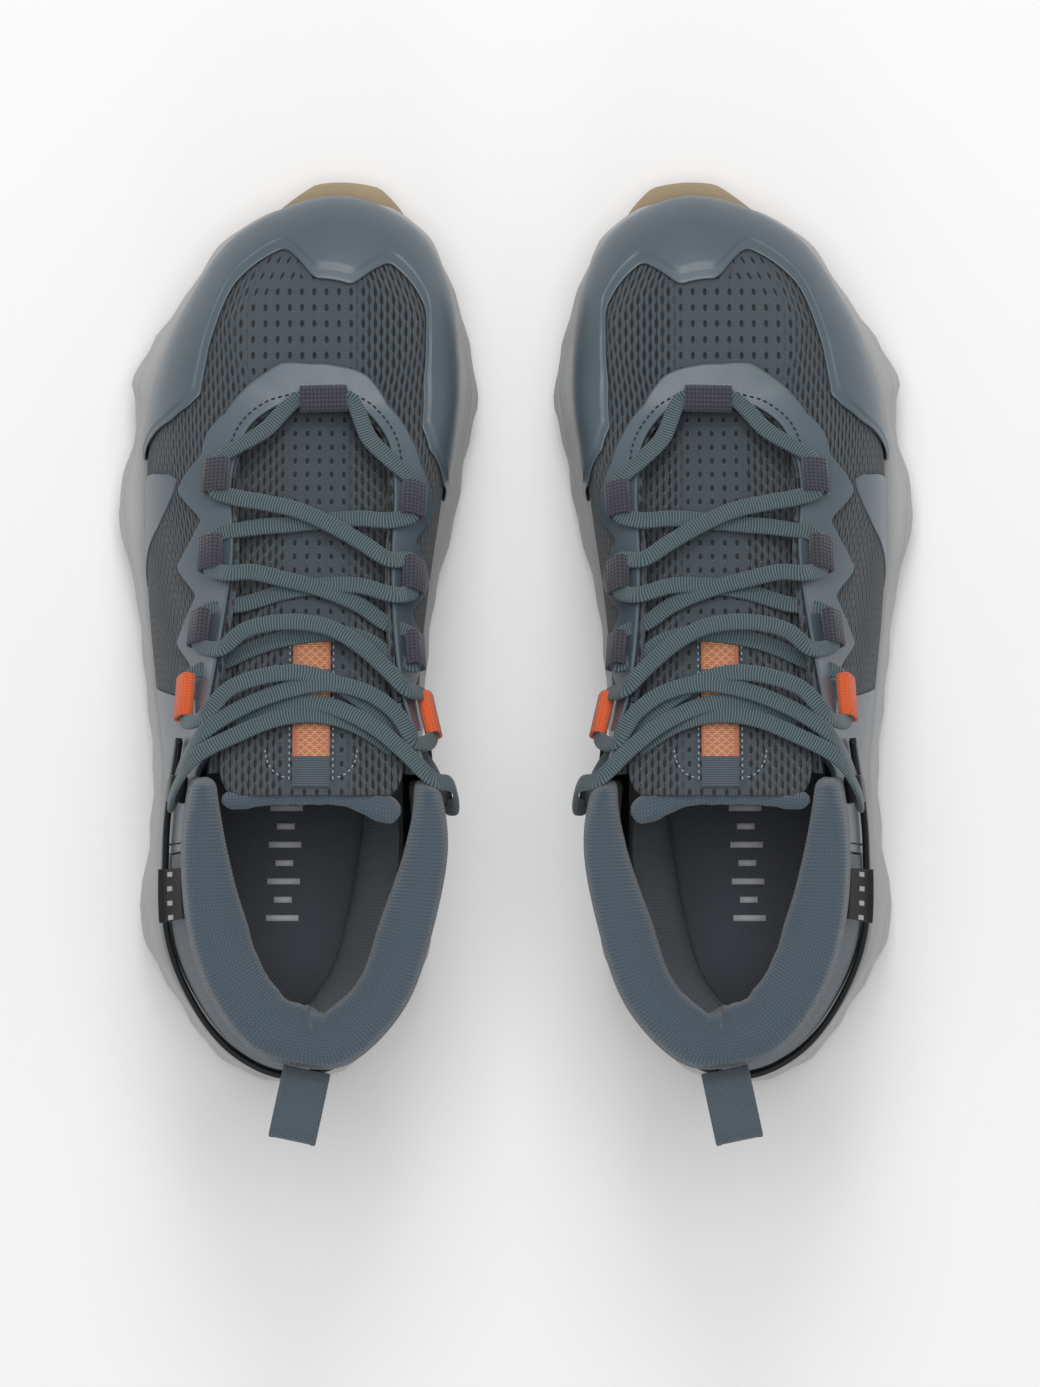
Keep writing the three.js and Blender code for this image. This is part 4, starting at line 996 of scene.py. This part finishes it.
def hook(name, side, place):
    # a plate whose upper edge turns out and down over the lace
    wall = 1.5
    base, along, up, out, _, length = heldFrame(place, wall)
    half = tunnelWidth / 2 + wall
    line = np.array([[-half - 4, wall / 2], [half - 2.2, wall / 2], [half - 0.9, 1.1], [half - 0.75, 2.4],
                     [half - 0.75, tunnelHeight + 0.7], [half - 1.2, tunnelHeight + 1.9],
                     [half - 2.6, tunnelHeight + 2.25], [-0.55 * half, tunnelHeight + 1.5 * wall]])
    s = np.linspace(0, len(line) - 1, 60)
    x, z = (np.interp(s, np.arange(len(line)), line[:, i]) for i in (0, 1))
    kernel = np.ones(7) / 7
    x, z = (np.convolve(np.pad(a, 3, mode="edge"), kernel, "valid") for a in (x, z))
    tangent = unit(np.stack([np.gradient(x), np.gradient(z)], -1))
    normal = np.stack([-tangent[:, 1], tangent[:, 0]], -1)
    endTaper = np.minimum(1, 0.45 + np.minimum(np.arange(60), 59 - np.arange(60)) / 8)
    h = length / 2
    profile = np.array([[-h, -0.5], [-h + 0.6, -0.75], [h - 0.6, -0.75], [h, -0.5],
                        [h, 0.5], [h - 0.6, 0.75], [-h + 0.6, 0.75], [-h, 0.5]])
    nx = x[:, None] + normal[:, 0][:, None] * profile[:, 1][None, :]
    nz = z[:, None] + normal[:, 1][:, None] * profile[:, 1][None, :]
    sideways = profile[:, 0][None, :] * endTaper[:, None]
    rings = base + up * nx[..., None] + out * nz[..., None] + along * sideways[..., None]
    surface(name, rings, materials["dark"], side, closeV=True, caps=True, replaced=[name])


# The lace seen from above: the points of each row between two loops, and how high it lies over the others.
route = {
    "frontLateral": [(-17.9, 220.3)],
    "frontMedial": [(17.5, 217.5), (24.3, 210.5)],
    "fromLateral": [
        ("lace_loop_lateral_1", 0, []),
        ("lace_loop_medial_2", 2.0, [(-27, 197.6), (-18, 196), (-6.9, 193.5), (3, 189.3), (14.2, 183),
                                     (24, 177)]),
        ("lace_loop_lateral_3", 0, [(26, 165), (14.2, 168), (2.4, 168), (-11.1, 165.8), (-23.8, 162)]),
        ("heel_strap_loop_medial", 2.0, [(-32, 147), (-23.8, 153), (-11.1, 155.8), (2.4, 154.5), (12.5, 149.5),
                                         (22.6, 141), (30, 133.5)]),
        ("top_hook_lateral", 0, [(33, 116), (27, 125), (17.6, 132), (4, 135.2), (-11.1, 132.6), (-27, 126),
                                 (-38, 118.5)]),
    ],
    "fromMedial": [
        ("lace_loop_medial_1", 0, []),
        ("lace_loop_lateral_2", 0, [(24.5, 190), (14.2, 190.6), (1.5, 189.6), (-11.1, 188.4), (-21, 187.5)]),
        ("lace_loop_medial_3", 2.0, [(-30, 172.3), (-22, 172.6), (-11.1, 170.2), (1.5, 166.8), (14.2, 161.5),
                                     (23, 155.5)]),
        ("heel_strap_loop_lateral", 0, [(25, 144), (17.6, 149.3), (7.4, 152), (-8.6, 150.6), (-19.6, 147.5),
                                        (-31, 142.5)]),
        ("top_hook_medial", 2.2, [(-38, 124), (-28, 134), (-8.6, 139), (4, 136.6), (14, 130.5), (25.2, 121),
                                  (33, 114.5)]),
    ],
    "hookReturn": {
        "lateral": [[4.55, 0.8, 5.0], [4.85, 0.93, 5.0]],
        "medial": [[21.45, 0.8, 5.0], [21.15, 0.93, 5.0]],
    },
    "ends": {
        "lateral": (0.6, [(-40, 111), (-27, 118), (-11.1, 124), (2.4, 124.6), (14.2, 121), (26, 113.5)]),
        "medial": (2.2, [(39, 103.5), (28, 114), (18.4, 121.5), (5.8, 127.5), (-4.4, 129.2), (-17, 127),
                         (-27, 122)]),
    },
    "rest": 1.5,
    "normal": unit(np.array([0, 0.47, 0.88])),
}
edgeGrid = upperPoint(*np.meshgrid(np.arange(4, 22, 0.06), np.linspace(0.55, 1, 46), indexing="ij"))


def restHeight(x, y):
    # the higher of the tongue's top and the upper's edge at a place seen from above
    near = np.hypot(edgeGrid[..., 0] - x, edgeGrid[..., 1] - y) < 1.8
    height = edgeGrid[..., 2][near].max() if near.any() else 0
    front, top = tongueShape["front"], tongueShape["top"]
    v = (front[0] - y) / (front[0] - top[0])
    u = (x - tongueShape["middle"]) / float(curveTable(tongueShape["halfWidths"], v))
    if abs(u) < 1:
        strip = 1.0 if v > 0.6 and abs(x - tongueShape["middle"]) < 8 else 0
        middle = tonguePoint(0, v, tongueThickness(v) / 2)[2] + strip
        height = max(height, middle - tongueShape["sag"] * u * u)
    return height


def taut(points, lift):
    # a row hangs on its highest points: the upper hull of its heights, then its lift over the row below
    points = np.array(points, float)
    reach = np.r_[0, np.cumsum(np.hypot(*np.diff(points[:, :2], axis=0).T))]
    hull = [0]
    for i in range(1, len(points)):
        while len(hull) > 1:
            a, b = hull[-2:]
            lastRise = (points[b, 2] - points[a, 2]) * (reach[i] - reach[a])
            newRise = (points[i, 2] - points[a, 2]) * (reach[b] - reach[a])
            if lastRise > newRise:
                break
            hull.pop()
        hull.append(i)
    points[:, 2] = np.interp(reach, reach[hull], points[hull, 2]) + lift * np.sin(np.pi * reach / reach[-1])
    return points


def rowStops(start, end, plan, lift):
    inner = [np.array([x, y, restHeight(x, y) + route["rest"]]) for x, y in plan]
    points = taut([start, *inner, end], lift)[1:-1]
    return [(point, unit(route["normal"] + np.array([point[0] * 0.008, 0, 0])), 0) for point in points]


def laceHalf(held, startsLateral):
    # stops of one half: (point, outward direction, 1 inside a loop and 0 between loops)
    _, along, _, out, centre, length = held["front_lace_loop"]
    toLateral = along if along[0] < 0 else -along
    begin = centre + toLateral * (length / 2 + 0.5) * (1 if startsLateral else -1)
    stops = [(begin, out, 1)]
    for name, lift, plan in route["fromLateral" if startsLateral else "fromMedial"]:
        _, along, _, out, centre, length = held[name]
        rear = along if along[1] < 0 else -along
        reach = length / 2 - 0.6
        inside = [centre - rear * reach, centre, centre + rear * reach]
        if name.endswith("_1"):
            plan = route["frontLateral" if startsLateral else "frontMedial"]
        stops += rowStops(stops[-1][0], inside[0], plan, lift)
        stops += [(point, out, 1) for point in inside]
    endSide = "lateral" if startsLateral else "medial"
    for k, t, lift in route["hookReturn"][endSide]:
        stops.append((offsetPoint(k, t, lift), upperFrame(k, t)[3], 0))
    lift, plan = route["ends"][endSide]
    last_ = plan[-1]
    tucked = np.array([last_[0], last_[1], restHeight(*last_) + 0.6])
    stops += rowStops(stops[-1][0], tucked, plan[:-1], lift)
    return stops + [(tucked, route["normal"], 0)]


def lace(side, held):
    # a flat band swept along a smooth line through the stops, pinched inside each loop
    _, _, _, out, centre, _ = held["front_lace_loop"]
    stops = laceHalf(held, True)[::-1] + [(centre, out, 1)] + laceHalf(held, False)
    points = np.array([stop[0] for stop in stops])
    normals = np.array([stop[1] for stop in stops])
    pinch = np.array([stop[2] for stop in stops], float)
    knots = np.r_[0, np.cumsum(np.sqrt(np.linalg.norm(np.diff(points, axis=0), axis=-1)))]
    spans = [np.linspace(a, b, 10, endpoint=False) for a, b in zip(knots[:-1], knots[1:])]
    fine = np.concatenate(spans + [knots[-1:]])
    line = np.stack([curveTable(np.stack([knots, points[:, i]], -1), fine) for i in range(3)], -1)
    normal = unit(np.stack([np.interp(fine, knots, normals[:, i]) for i in range(3)], -1))
    tight = np.interp(fine, knots, pinch)
    kernel = np.hanning(17) / np.hanning(17).sum()
    padded = np.pad(normal, ((8, 8), (0, 0)), mode="edge")
    normal = unit(np.stack([np.convolve(padded[:, i], kernel, "valid") for i in range(3)], -1))
    tangent = unit(np.gradient(line, axis=0))
    normal = unit(normal - tangent * np.sum(normal * tangent, -1, keepdims=True))
    across = np.cross(tangent, normal)
    wide = laceShape["width"] / 2 * (1 - 0.16 * tight)
    thick = laceShape["thickness"] / 2 * (1 + 0.12 * tight)
    angle = np.linspace(0, 2 * np.pi, 20, endpoint=False)
    cx = np.sign(np.cos(angle)) * np.abs(np.cos(angle)) ** 0.55
    cz = np.sign(np.sin(angle)) * np.abs(np.sin(angle)) ** 0.8
    rings = (
        line[:, None]
        + across[:, None] * (cx[None, :] * wide[:, None])[..., None]
        + normal[:, None] * (cz[None, :] * thick[:, None])[..., None]
    )
    travel = np.r_[0, np.cumsum(np.linalg.norm(np.diff(line, axis=0), axis=-1))]

    def laceUv(p):
        v = np.r_[(1 + cx) * 3.2, (1 + cx[:1]) * 3.2]
        return np.stack(np.broadcast_arrays(travel[:, None], v[None, :]), -1)

    surface("lace", rings, materials["lace"], side, closeV=True, caps=True, uvOf=laceUv, replaced=["lace"])
    if side == "left":
        print("lace length in mm", round(float(travel[-1])))


for side in ("left", "right"):
    held = {}
    for name, place in loops.items():
        held[name] = heldFrame(place, laceShape["wall"])
        webbingLoop(name, side, place, "orange" if "strap" in name else "loop")
    for name, place in hooks.items():
        held[name] = heldFrame(place, 1.5)
        hook(name, side, place)
    lace(side, held)
print("laces made")

# Heel cradle, pull loop and tag.
cradle = {
    "middle": [[20.55, 0.62], [21.2, 0.5], [22.4, 0.36], [23.4, 0.27], [24.5, 0.2], [26, 0.17], [27.5, 0.2],
               [28.6, 0.27], [29.6, 0.36], [30.8, 0.5], [31.45, 0.62]],
    "half": [[20.55, 0.018], [22.4, 0.03], [24, 0.085], [26, 0.1], [28, 0.085], [29.6, 0.03], [31.45, 0.018]],
    "seat": 0.9,
    "thickness": 2.2,
}
pullShape = {"width": 16, "length": 25, "height": 13, "webbing": 1.6, "tilt": 25, "lean": -12, "gap": 0.5}


def heelCradle(side):
    k = np.linspace(cradle["middle"][0][0], cradle["middle"][-1][0], 260)
    middle = curveTable(cradle["middle"], k)
    half = curveTable(cradle["half"], k)
    low, high = endsRounded(k, middle - half, middle + half)
    inner = shellOuter + cradle["seat"]
    rings = panelRings(k, low, high, inner, inner + cradle["thickness"], 14, 1.1)
    surface("heel_cradle", rings, materials["dark"], side, closeV=True, caps=True, replaced=["heel_cradle"])


def turned(points, axis, degrees):
    # points turned about an axis through the origin, by the right-hand rule
    a = np.radians(degrees)
    i, j = [(1, 2), (2, 0), (0, 1)][axis]
    result = points.copy()
    result[..., i] = points[..., i] * np.cos(a) - points[..., j] * np.sin(a)
    result[..., j] = points[..., i] * np.sin(a) + points[..., j] * np.cos(a)
    return result


def pullLoop(side):
    # webbing folded into a drop shape: back is 1 - cos, rise is sin times sin of half the angle
    s = pullShape
    root = offsetPoint(0, 0.93, 0) - np.array([0, collarShape["swell"] + s["gap"] + s["webbing"] / 2, 0])
    angle = np.linspace(0, 2 * np.pi, 96, endpoint=False)
    back = s["length"] / 2 * (1 - np.cos(angle))
    rise = s["height"] / 2 * np.sin(angle) * np.sin(angle / 2)
    tangent = unit(np.stack([np.roll(back, 1) - np.roll(back, -1), np.roll(rise, -1) - np.roll(rise, 1)], -1))
    normal = np.stack([-tangent[:, 1], tangent[:, 0]], -1)
    half, thin = s["width"] / 2, s["webbing"] / 2
    profile = np.array([
        [-half, -0.4], [-half + 0.4, -1], [-half + 1.6, -1], [-half + 1.9, -0.75],
        [half - 1.9, -0.75], [half - 1.6, -1], [half - 0.4, -1], [half, -0.4],
        [half, 0.4], [half - 0.4, 1], [half - 1.6, 1], [half - 1.9, 0.75],
        [-half + 1.9, 0.75], [-half + 1.6, 1], [-half + 0.4, 1], [-half, 0.4],
    ])
    y = -back[:, None] + normal[:, 0][:, None] * profile[:, 1] * thin
    z = rise[:, None] + normal[:, 1][:, None] * profile[:, 1] * thin
    x = np.broadcast_to(profile[:, 0], y.shape)
    rings = turned(turned(np.stack([x, y, z], -1), 0, -s["tilt"]), 2, s["lean"]) + root
    surface("pull_loop", rings, materials["pull"], side, closeU=True, closeV=True, body="pull_loop",
            replaced=["pull_loop"])


def sideTag(side):
    # a label sewn flat along its upper edge, whose lower edge stands away from the quarter
    k = np.linspace(3.1, 3.7, 30)
    slant = 0.05 * (k - k[0]) / (k[-1] - k[0])
    rings = panelRings(k, 0.56 + slant, 0.74 + slant, shellOuter + 0.35, shellOuter + 1.0, 12, 0.4)
    half = rings.shape[1] // 2
    below = np.r_[np.linspace(1, 0, half), np.linspace(0, 1, half)]
    rings = rings + outward(k)[:, None] * (6.5 * below**1.3)[None, :, None]
    surface("side_tag", rings, materials["tag"], side, closeV=True, caps=True, replaced=["side_tag"])


for side in ("left", "right"):
    heelCradle(side)
    pullLoop(side)
    sideTag(side)
print("heel pieces made")

# Soles.
soleShape = {
    "lobes": [[3.4, 2.5, 0.7], [7.9, 1.5, 0.8], [9.55, 3, 0.6], [16.55, 2, 0.7], [23.2, 2, 0.8]],
    "lugRows": [24, 46, 68, 92, 140, 166, 190, 214, 238],
    "lugLength": 12,
    "lugSlant": 4,
    "lugEdgeInset": 7,
    "toeBumper": 5,
    "outsoleInset": 5.5,
}
plateTop = last["lugDepth"] + last["plate"]


def lobeAt(k):
    k = np.mod(k, stationCount)
    total = 0 * k
    for centre, height, half in soleShape["lobes"]:
        total = total + height * np.maximum(0, 1 - np.abs(k - centre) / half)
    return total


def soleOut(k):
    step = solePoint(k + 0.3) - solePoint(k - 0.3)
    return unit(np.stack([-step[..., 1], step[..., 0]], -1))


def soleRing(k, inset, height):
    point = solePoint(k) - soleOut(k) * np.asarray(inset)[..., None]
    return np.concatenate([point, height(point[..., 1])[..., None]], -1)


def midsole(side):
    # a wall that swells to its lobes, cut by a groove along its middle and slanting creases
    k = np.linspace(0, stationCount, 520, endpoint=False)
    level = np.r_[0, 0.03, 0.08, np.linspace(0.14, 0.9, 30), 0.94, 0.97, 0.99, 1]
    swell = np.interp(level, [0, 0.22, 0.5, 0.82, 1], [-5, -1.2, 0, -1.5, -3])
    lobes = np.interp(level, [0, 0.22, 0.5, 0.82, 1], [0, 0.9, 1, 0.4, 0])
    k2, l2 = k[:, None], level[None, :]
    crease = np.abs(np.mod(k2 * 1.5 + l2 * 0.9, 1) - 0.5) * 2
    facet = 0.7 * (crease - 0.5) * np.sin(np.pi * l2) ** 0.7
    groove = -1.1 * np.exp(-(((l2 - 0.36 - 0.05 * np.sin(k2 * 1.1)) / 0.035) ** 2))
    second = -0.7 * np.exp(-(((l2 - 0.7) / 0.03) ** 2)) * smooth(-0.2, 0.4, np.sin(k2 * 0.9))
    out = swell[None, :] + lobes[None, :] * lobeAt(k2) + facet + groove + second
    out = out - 1.4 * smooth(0.94, 1, l2) ** 2 - 1.0 * smooth(0.06, 0, l2)
    point = solePoint(k)[:, None] + soleOut(k)[:, None] * out[..., None]
    y = point[..., 1]
    bottom, top = floorHeight(y) + plateTop + 0.2, featherHeight(y) - 0.4
    wall = np.concatenate([point, lerp(bottom, top, l2)[..., None]], -1)
    # the top and the bottom are closed by rings that shrink towards the sole's middle line
    spine = np.stack([np.interp(y[:, -1], [0, 120, 300], [-10, -10, 4]), np.clip(y[:, -1], 22, 280)], -1)
    caps = []
    ends = (
        (wall[:, 0], lambda q: floorHeight(q) + plateTop + 0.2),
        (wall[:, -1], lambda q: featherHeight(q) - 0.4),
    )
    for edge, height in ends:
        rings = []
        for u in (0.12, 0.4, 0.75, 1.0):
            flat = lerp(edge[:, :2], spine, u)
            rings.append(np.concatenate([flat, height(flat[:, 1])[:, None]], -1))
        caps.append(np.stack(rings, 1))
    grid = np.concatenate([caps[0][:, ::-1], wall, caps[1]], 1)
    piece = surface("midsole", grid, materials["midsole"], side, closeU=True, replaced=["midsole"])
    weld(piece)


def weld(piece):
    # joins the points that meet along the middle line
    shell = bmesh.new()
    shell.from_mesh(piece.data)
    bmesh.ops.remove_doubles(shell, verts=shell.verts, dist=1e-6)
    bmesh.ops.dissolve_degenerate(shell, edges=shell.edges, dist=1e-7)
    shell.to_mesh(piece.data)
    shell.free()


def outsoleInset(k):
    fromToe = np.abs(k - last["toe"] - 0.15)
    return lerp(-soleShape["toeBumper"], soleShape["outsoleInset"], np.clip((fromToe - 0.32) / 0.75, 0, 1))


def soleEdgeX(y, sideSign):
    start = 0 if sideSign < 0 else last["toe"]
    end = last["toe"] if sideSign < 0 else stationCount
    k = np.arange(start + 0.5, end - 0.5, 0.02)
    edge = solePoint(k)
    return edge[np.argmin(np.abs(edge[:, 1] - y)), 0]


def lugGrid(x, y, half, slant, depth, length):
    # one lug: four rings from a small bottom face, round its bevel and up into the plate
    base = floorHeight(y)
    grow = np.array([-1.0, -0.3, 0.0, 0.25])
    heights = np.array([0.0, 0.5, 1.3, depth + 0.6])
    corners = np.array([[-1, -1], [0, -1], [1, -1], [1, 1], [0, 1], [-1, 1]], float)
    rings = []
    for g, h in zip(grow, heights):
        px = x + corners[:, 0] * (half + g)
        py = y + corners[:, 1] * (length / 2 + g) + slant * corners[:, 0]
        rings.append(np.stack([px, py, np.full(6, base + h)], -1))
    return np.stack(rings, 0)


def outsole(side):
    # a thin plate that turns up as the toe bumper, with slanted lugs and small steps round its rim
    k = np.linspace(0, stationCount, 416, endpoint=False)
    inset = outsoleInset(k)
    notch = 0.9 * smooth(0.2, 0.5, np.sin(k * np.pi * 2.0))

    def spine(edge):
        middle = np.interp(edge[:, 1], [0, 120, 300], [-10, -10, 4])
        return np.stack([middle, np.clip(edge[:, 1], 22, 282)], -1)

    rows = []
    for grow, rise in ((2.4, 0.0), (0.9, 0.15), (0.3, 0.7), (0.0, 1.6), (-0.3, 2.6), (0.4, 3.0)):
        heightAt = lambda y: floorHeight(y) + last["lugDepth"] + rise
        rows.append(soleRing(k, inset + grow + notch * (rise < 2), heightAt))
    wall = np.stack(rows, 1)
    caps = []
    for edge, rise in ((wall[:, 0], 0.0), (wall[:, -1], last["plate"])):
        rings = []
        for u in (0.3, 0.7, 1.0):
            flat = lerp(edge[:, :2], spine(edge), u)
            height = floorHeight(flat[:, 1]) + last["lugDepth"] + rise
            rings.append(np.concatenate([flat, height[:, None]], -1))
        caps.append(np.stack(rings, 1))
    grid = np.concatenate([caps[0][:, ::-1], wall, caps[1]], 1)
    plateFaces, plateUvs = gridFaces(grid, closeU=True)
    if not facesOut(grid, plateFaces):
        plateFaces = [f[:, ::-1] for f in plateFaces]
    points, faces, uvs = [grid.reshape(-1, 3)], list(plateFaces), list(plateUvs)
    total = len(points[0])
    for row in soleShape["lugRows"]:
        ends = (row - soleShape["lugLength"] * 0.7, row, row + soleShape["lugLength"] * 0.7)
        low = max(soleEdgeX(y, -1) for y in ends) + soleShape["lugEdgeInset"]
        high = min(soleEdgeX(y, 1) for y in ends) - soleShape["lugEdgeInset"]
        width = (high - low) / 4
        for i in range(4):
            slant = soleShape["lugSlant"] * 0.6 * (1 if i < 2 else -1)
            middle = low + (i + 0.5) * width
            shape = lugGrid(middle, row, width / 2 - 1.2, slant, last["lugDepth"], soleShape["lugLength"])
            block, blockUvs = gridFaces(shape, closeV=True, caps=True)
            if not facesOut(shape, block):
                block = [f[:, ::-1] for f in block]
            faces += [f + total for f in block]
            uvs += blockUvs
            points.append(shape.reshape(-1, 3))
            total += shape.shape[0] * shape.shape[1]
    piece = addMesh("outsole", np.concatenate(points), faces, uvs, materials["outsole"], side,
                    replaced=["outsole"])
    weld(piece)


def insole(side):
    # a footbed with a soft raised rim and a dished heel
    k = np.linspace(0, stationCount, 260, endpoint=False)
    base = 1.5 * layers["gap"] + 2
    inset = 7.5

    def ring(extra, rise):
        point = featherPoint(k) - outward(k) * (inset + extra)
        point[:, 2] = featherHeight(point[:, 1]) + rise
        return point

    rim = ((0, 0), (-0.1, 1.5), (0, 4.2), (0.5, 5.6), (1.6, 6.2), (3.5, 5.8), (7, 5.2))
    rows = [ring(extra, base + rise) for extra, rise in rim]
    edge = rows[-1]
    spine = np.stack([np.interp(edge[:, 1], [0, 120, 300], [-10, -8, 4]), np.clip(edge[:, 1], 38, 262)], -1)
    for u in (0.35, 0.7, 1.0):
        flat = lerp(edge[:, :2], spine, u)
        rows.append(np.concatenate([flat, (featherHeight(flat[:, 1]) + base + 5.0)[:, None]], -1))
    under = rows[0]
    low = []
    for u in (1.0, 0.5):
        flat = lerp(under[:, :2], spine, u)
        low.append(np.concatenate([flat, (featherHeight(flat[:, 1]) + base)[:, None]], -1))
    grid = np.stack(low + rows, 1)
    piece = surface("insole", grid, materials["insole"], side, closeU=True, replaced=["insole"],
                    uvOf=lambda p: p[..., :2])
    weld(piece)


def insolePrint(side):
    # a plain scale of pale bars
    points, faces, uvs = [], [], []
    base = 1.5 * layers["gap"] + 2 + 5.0 + 0.25
    for i in range(7):
        long = 5.5 if i % 2 == 0 else 3.0
        centre = np.array([-12.5 + 0.25 * i, 56 + i * 6.2])
        x = centre[0] + np.array([-long, long, long, -long])
        y = centre[1] + np.array([-1.0, -1.0, 1.0, 1.0])
        low = np.stack([x, y, featherHeight(y) + base - 0.2], -1)
        high = low + np.array([0, 0, 0.25])
        shape = np.stack([low, high], 0)
        block, blockUvs = gridFaces(shape, closeV=True, caps=True)
        if not facesOut(shape, block):
            block = [f[:, ::-1] for f in block]
        faces += [f + 8 * i for f in block]
        uvs += blockUvs
        points.append(shape.reshape(-1, 3))
    addMesh("insole_print", np.concatenate(points), faces, uvs, materials["print"], side,
            slotName="insole_fabric")


for side in ("left", "right"):
    midsole(side)
    outsole(side)
    insole(side)
    insolePrint(side)
    for node, material in (("lasting_board", "board"), ("heel_counter", "counter")):
        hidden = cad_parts[f"{side}_{node}"]
        hidden.data.materials.clear()
        hidden.data.materials.append(materials[material])
print("soles made")

# Floor, light and camera.
stageShape = {
    "floor": 6.0, "distance": 6.0, "frameHeight": 0.4685, "centre": (0.0014, -0.0113), "level": 0.05,
}


def floor():
    half = stageShape["floor"]
    mesh = bpy.data.meshes.new("floor")
    corners = [(-half, -half, 0), (half, -half, 0), (half, half, 0), (-half, half, 0)]
    mesh.from_pydata(corners, [], [(0, 1, 2, 3)])
    piece = bpy.data.objects.new("floor", mesh)
    bpy.context.scene.collection.objects.link(piece)
    n = Nodes("paleFloor", 0.9, Specular_IOR_Level=0.1)
    n.shader.inputs["Base Color"].default_value = (0.93, 0.93, 0.935, 1)
    mesh.materials.append(n.material)


def areaLight(name, place, target, size, power):
    data = bpy.data.lights.new(name, "AREA")
    data.shape = "DISK"
    data.size = size
    data.energy = power
    lamp = bpy.data.objects.new(name, data)
    lamp.location = place
    direction = np.array(target, float) - np.array(place, float)
    lamp.rotation_euler = Vector(direction).to_track_quat("-Z", "Y").to_euler()
    bpy.context.scene.collection.objects.link(lamp)


def camera():
    data = bpy.data.cameras.new("camera")
    data.sensor_fit = "VERTICAL"
    data.sensor_height = 24
    data.lens = 24 * stageShape["distance"] / stageShape["frameHeight"]
    data.clip_end = 50
    cam = bpy.data.objects.new("camera", data)
    cam.location = (*stageShape["centre"], stageShape["distance"] + stageShape["level"])
    bpy.context.scene.collection.objects.link(cam)
    bpy.context.scene.camera = cam


floor()
areaLight("skyLight", (0, 0.25, 2.2), (0, 0, 0), 1.3, 22)
areaLight("toeLight", (0, 1.3, 1.7), (0, 0.1, 0.05), 0.7, 9)
areaLight("heelLight", (0, -1.9, 1.0), (0, -0.05, 0.05), 0.9, 4)
world = bpy.data.worlds.new("studio")
world.use_nodes = True
world.node_tree.nodes["Background"].inputs[0].default_value = (1, 1, 1, 1)
world.node_tree.nodes["Background"].inputs[1].default_value = 0.42
bpy.context.scene.world = world
bpy.context.scene.view_settings.view_transform = "Standard"
camera()
print("stage set")
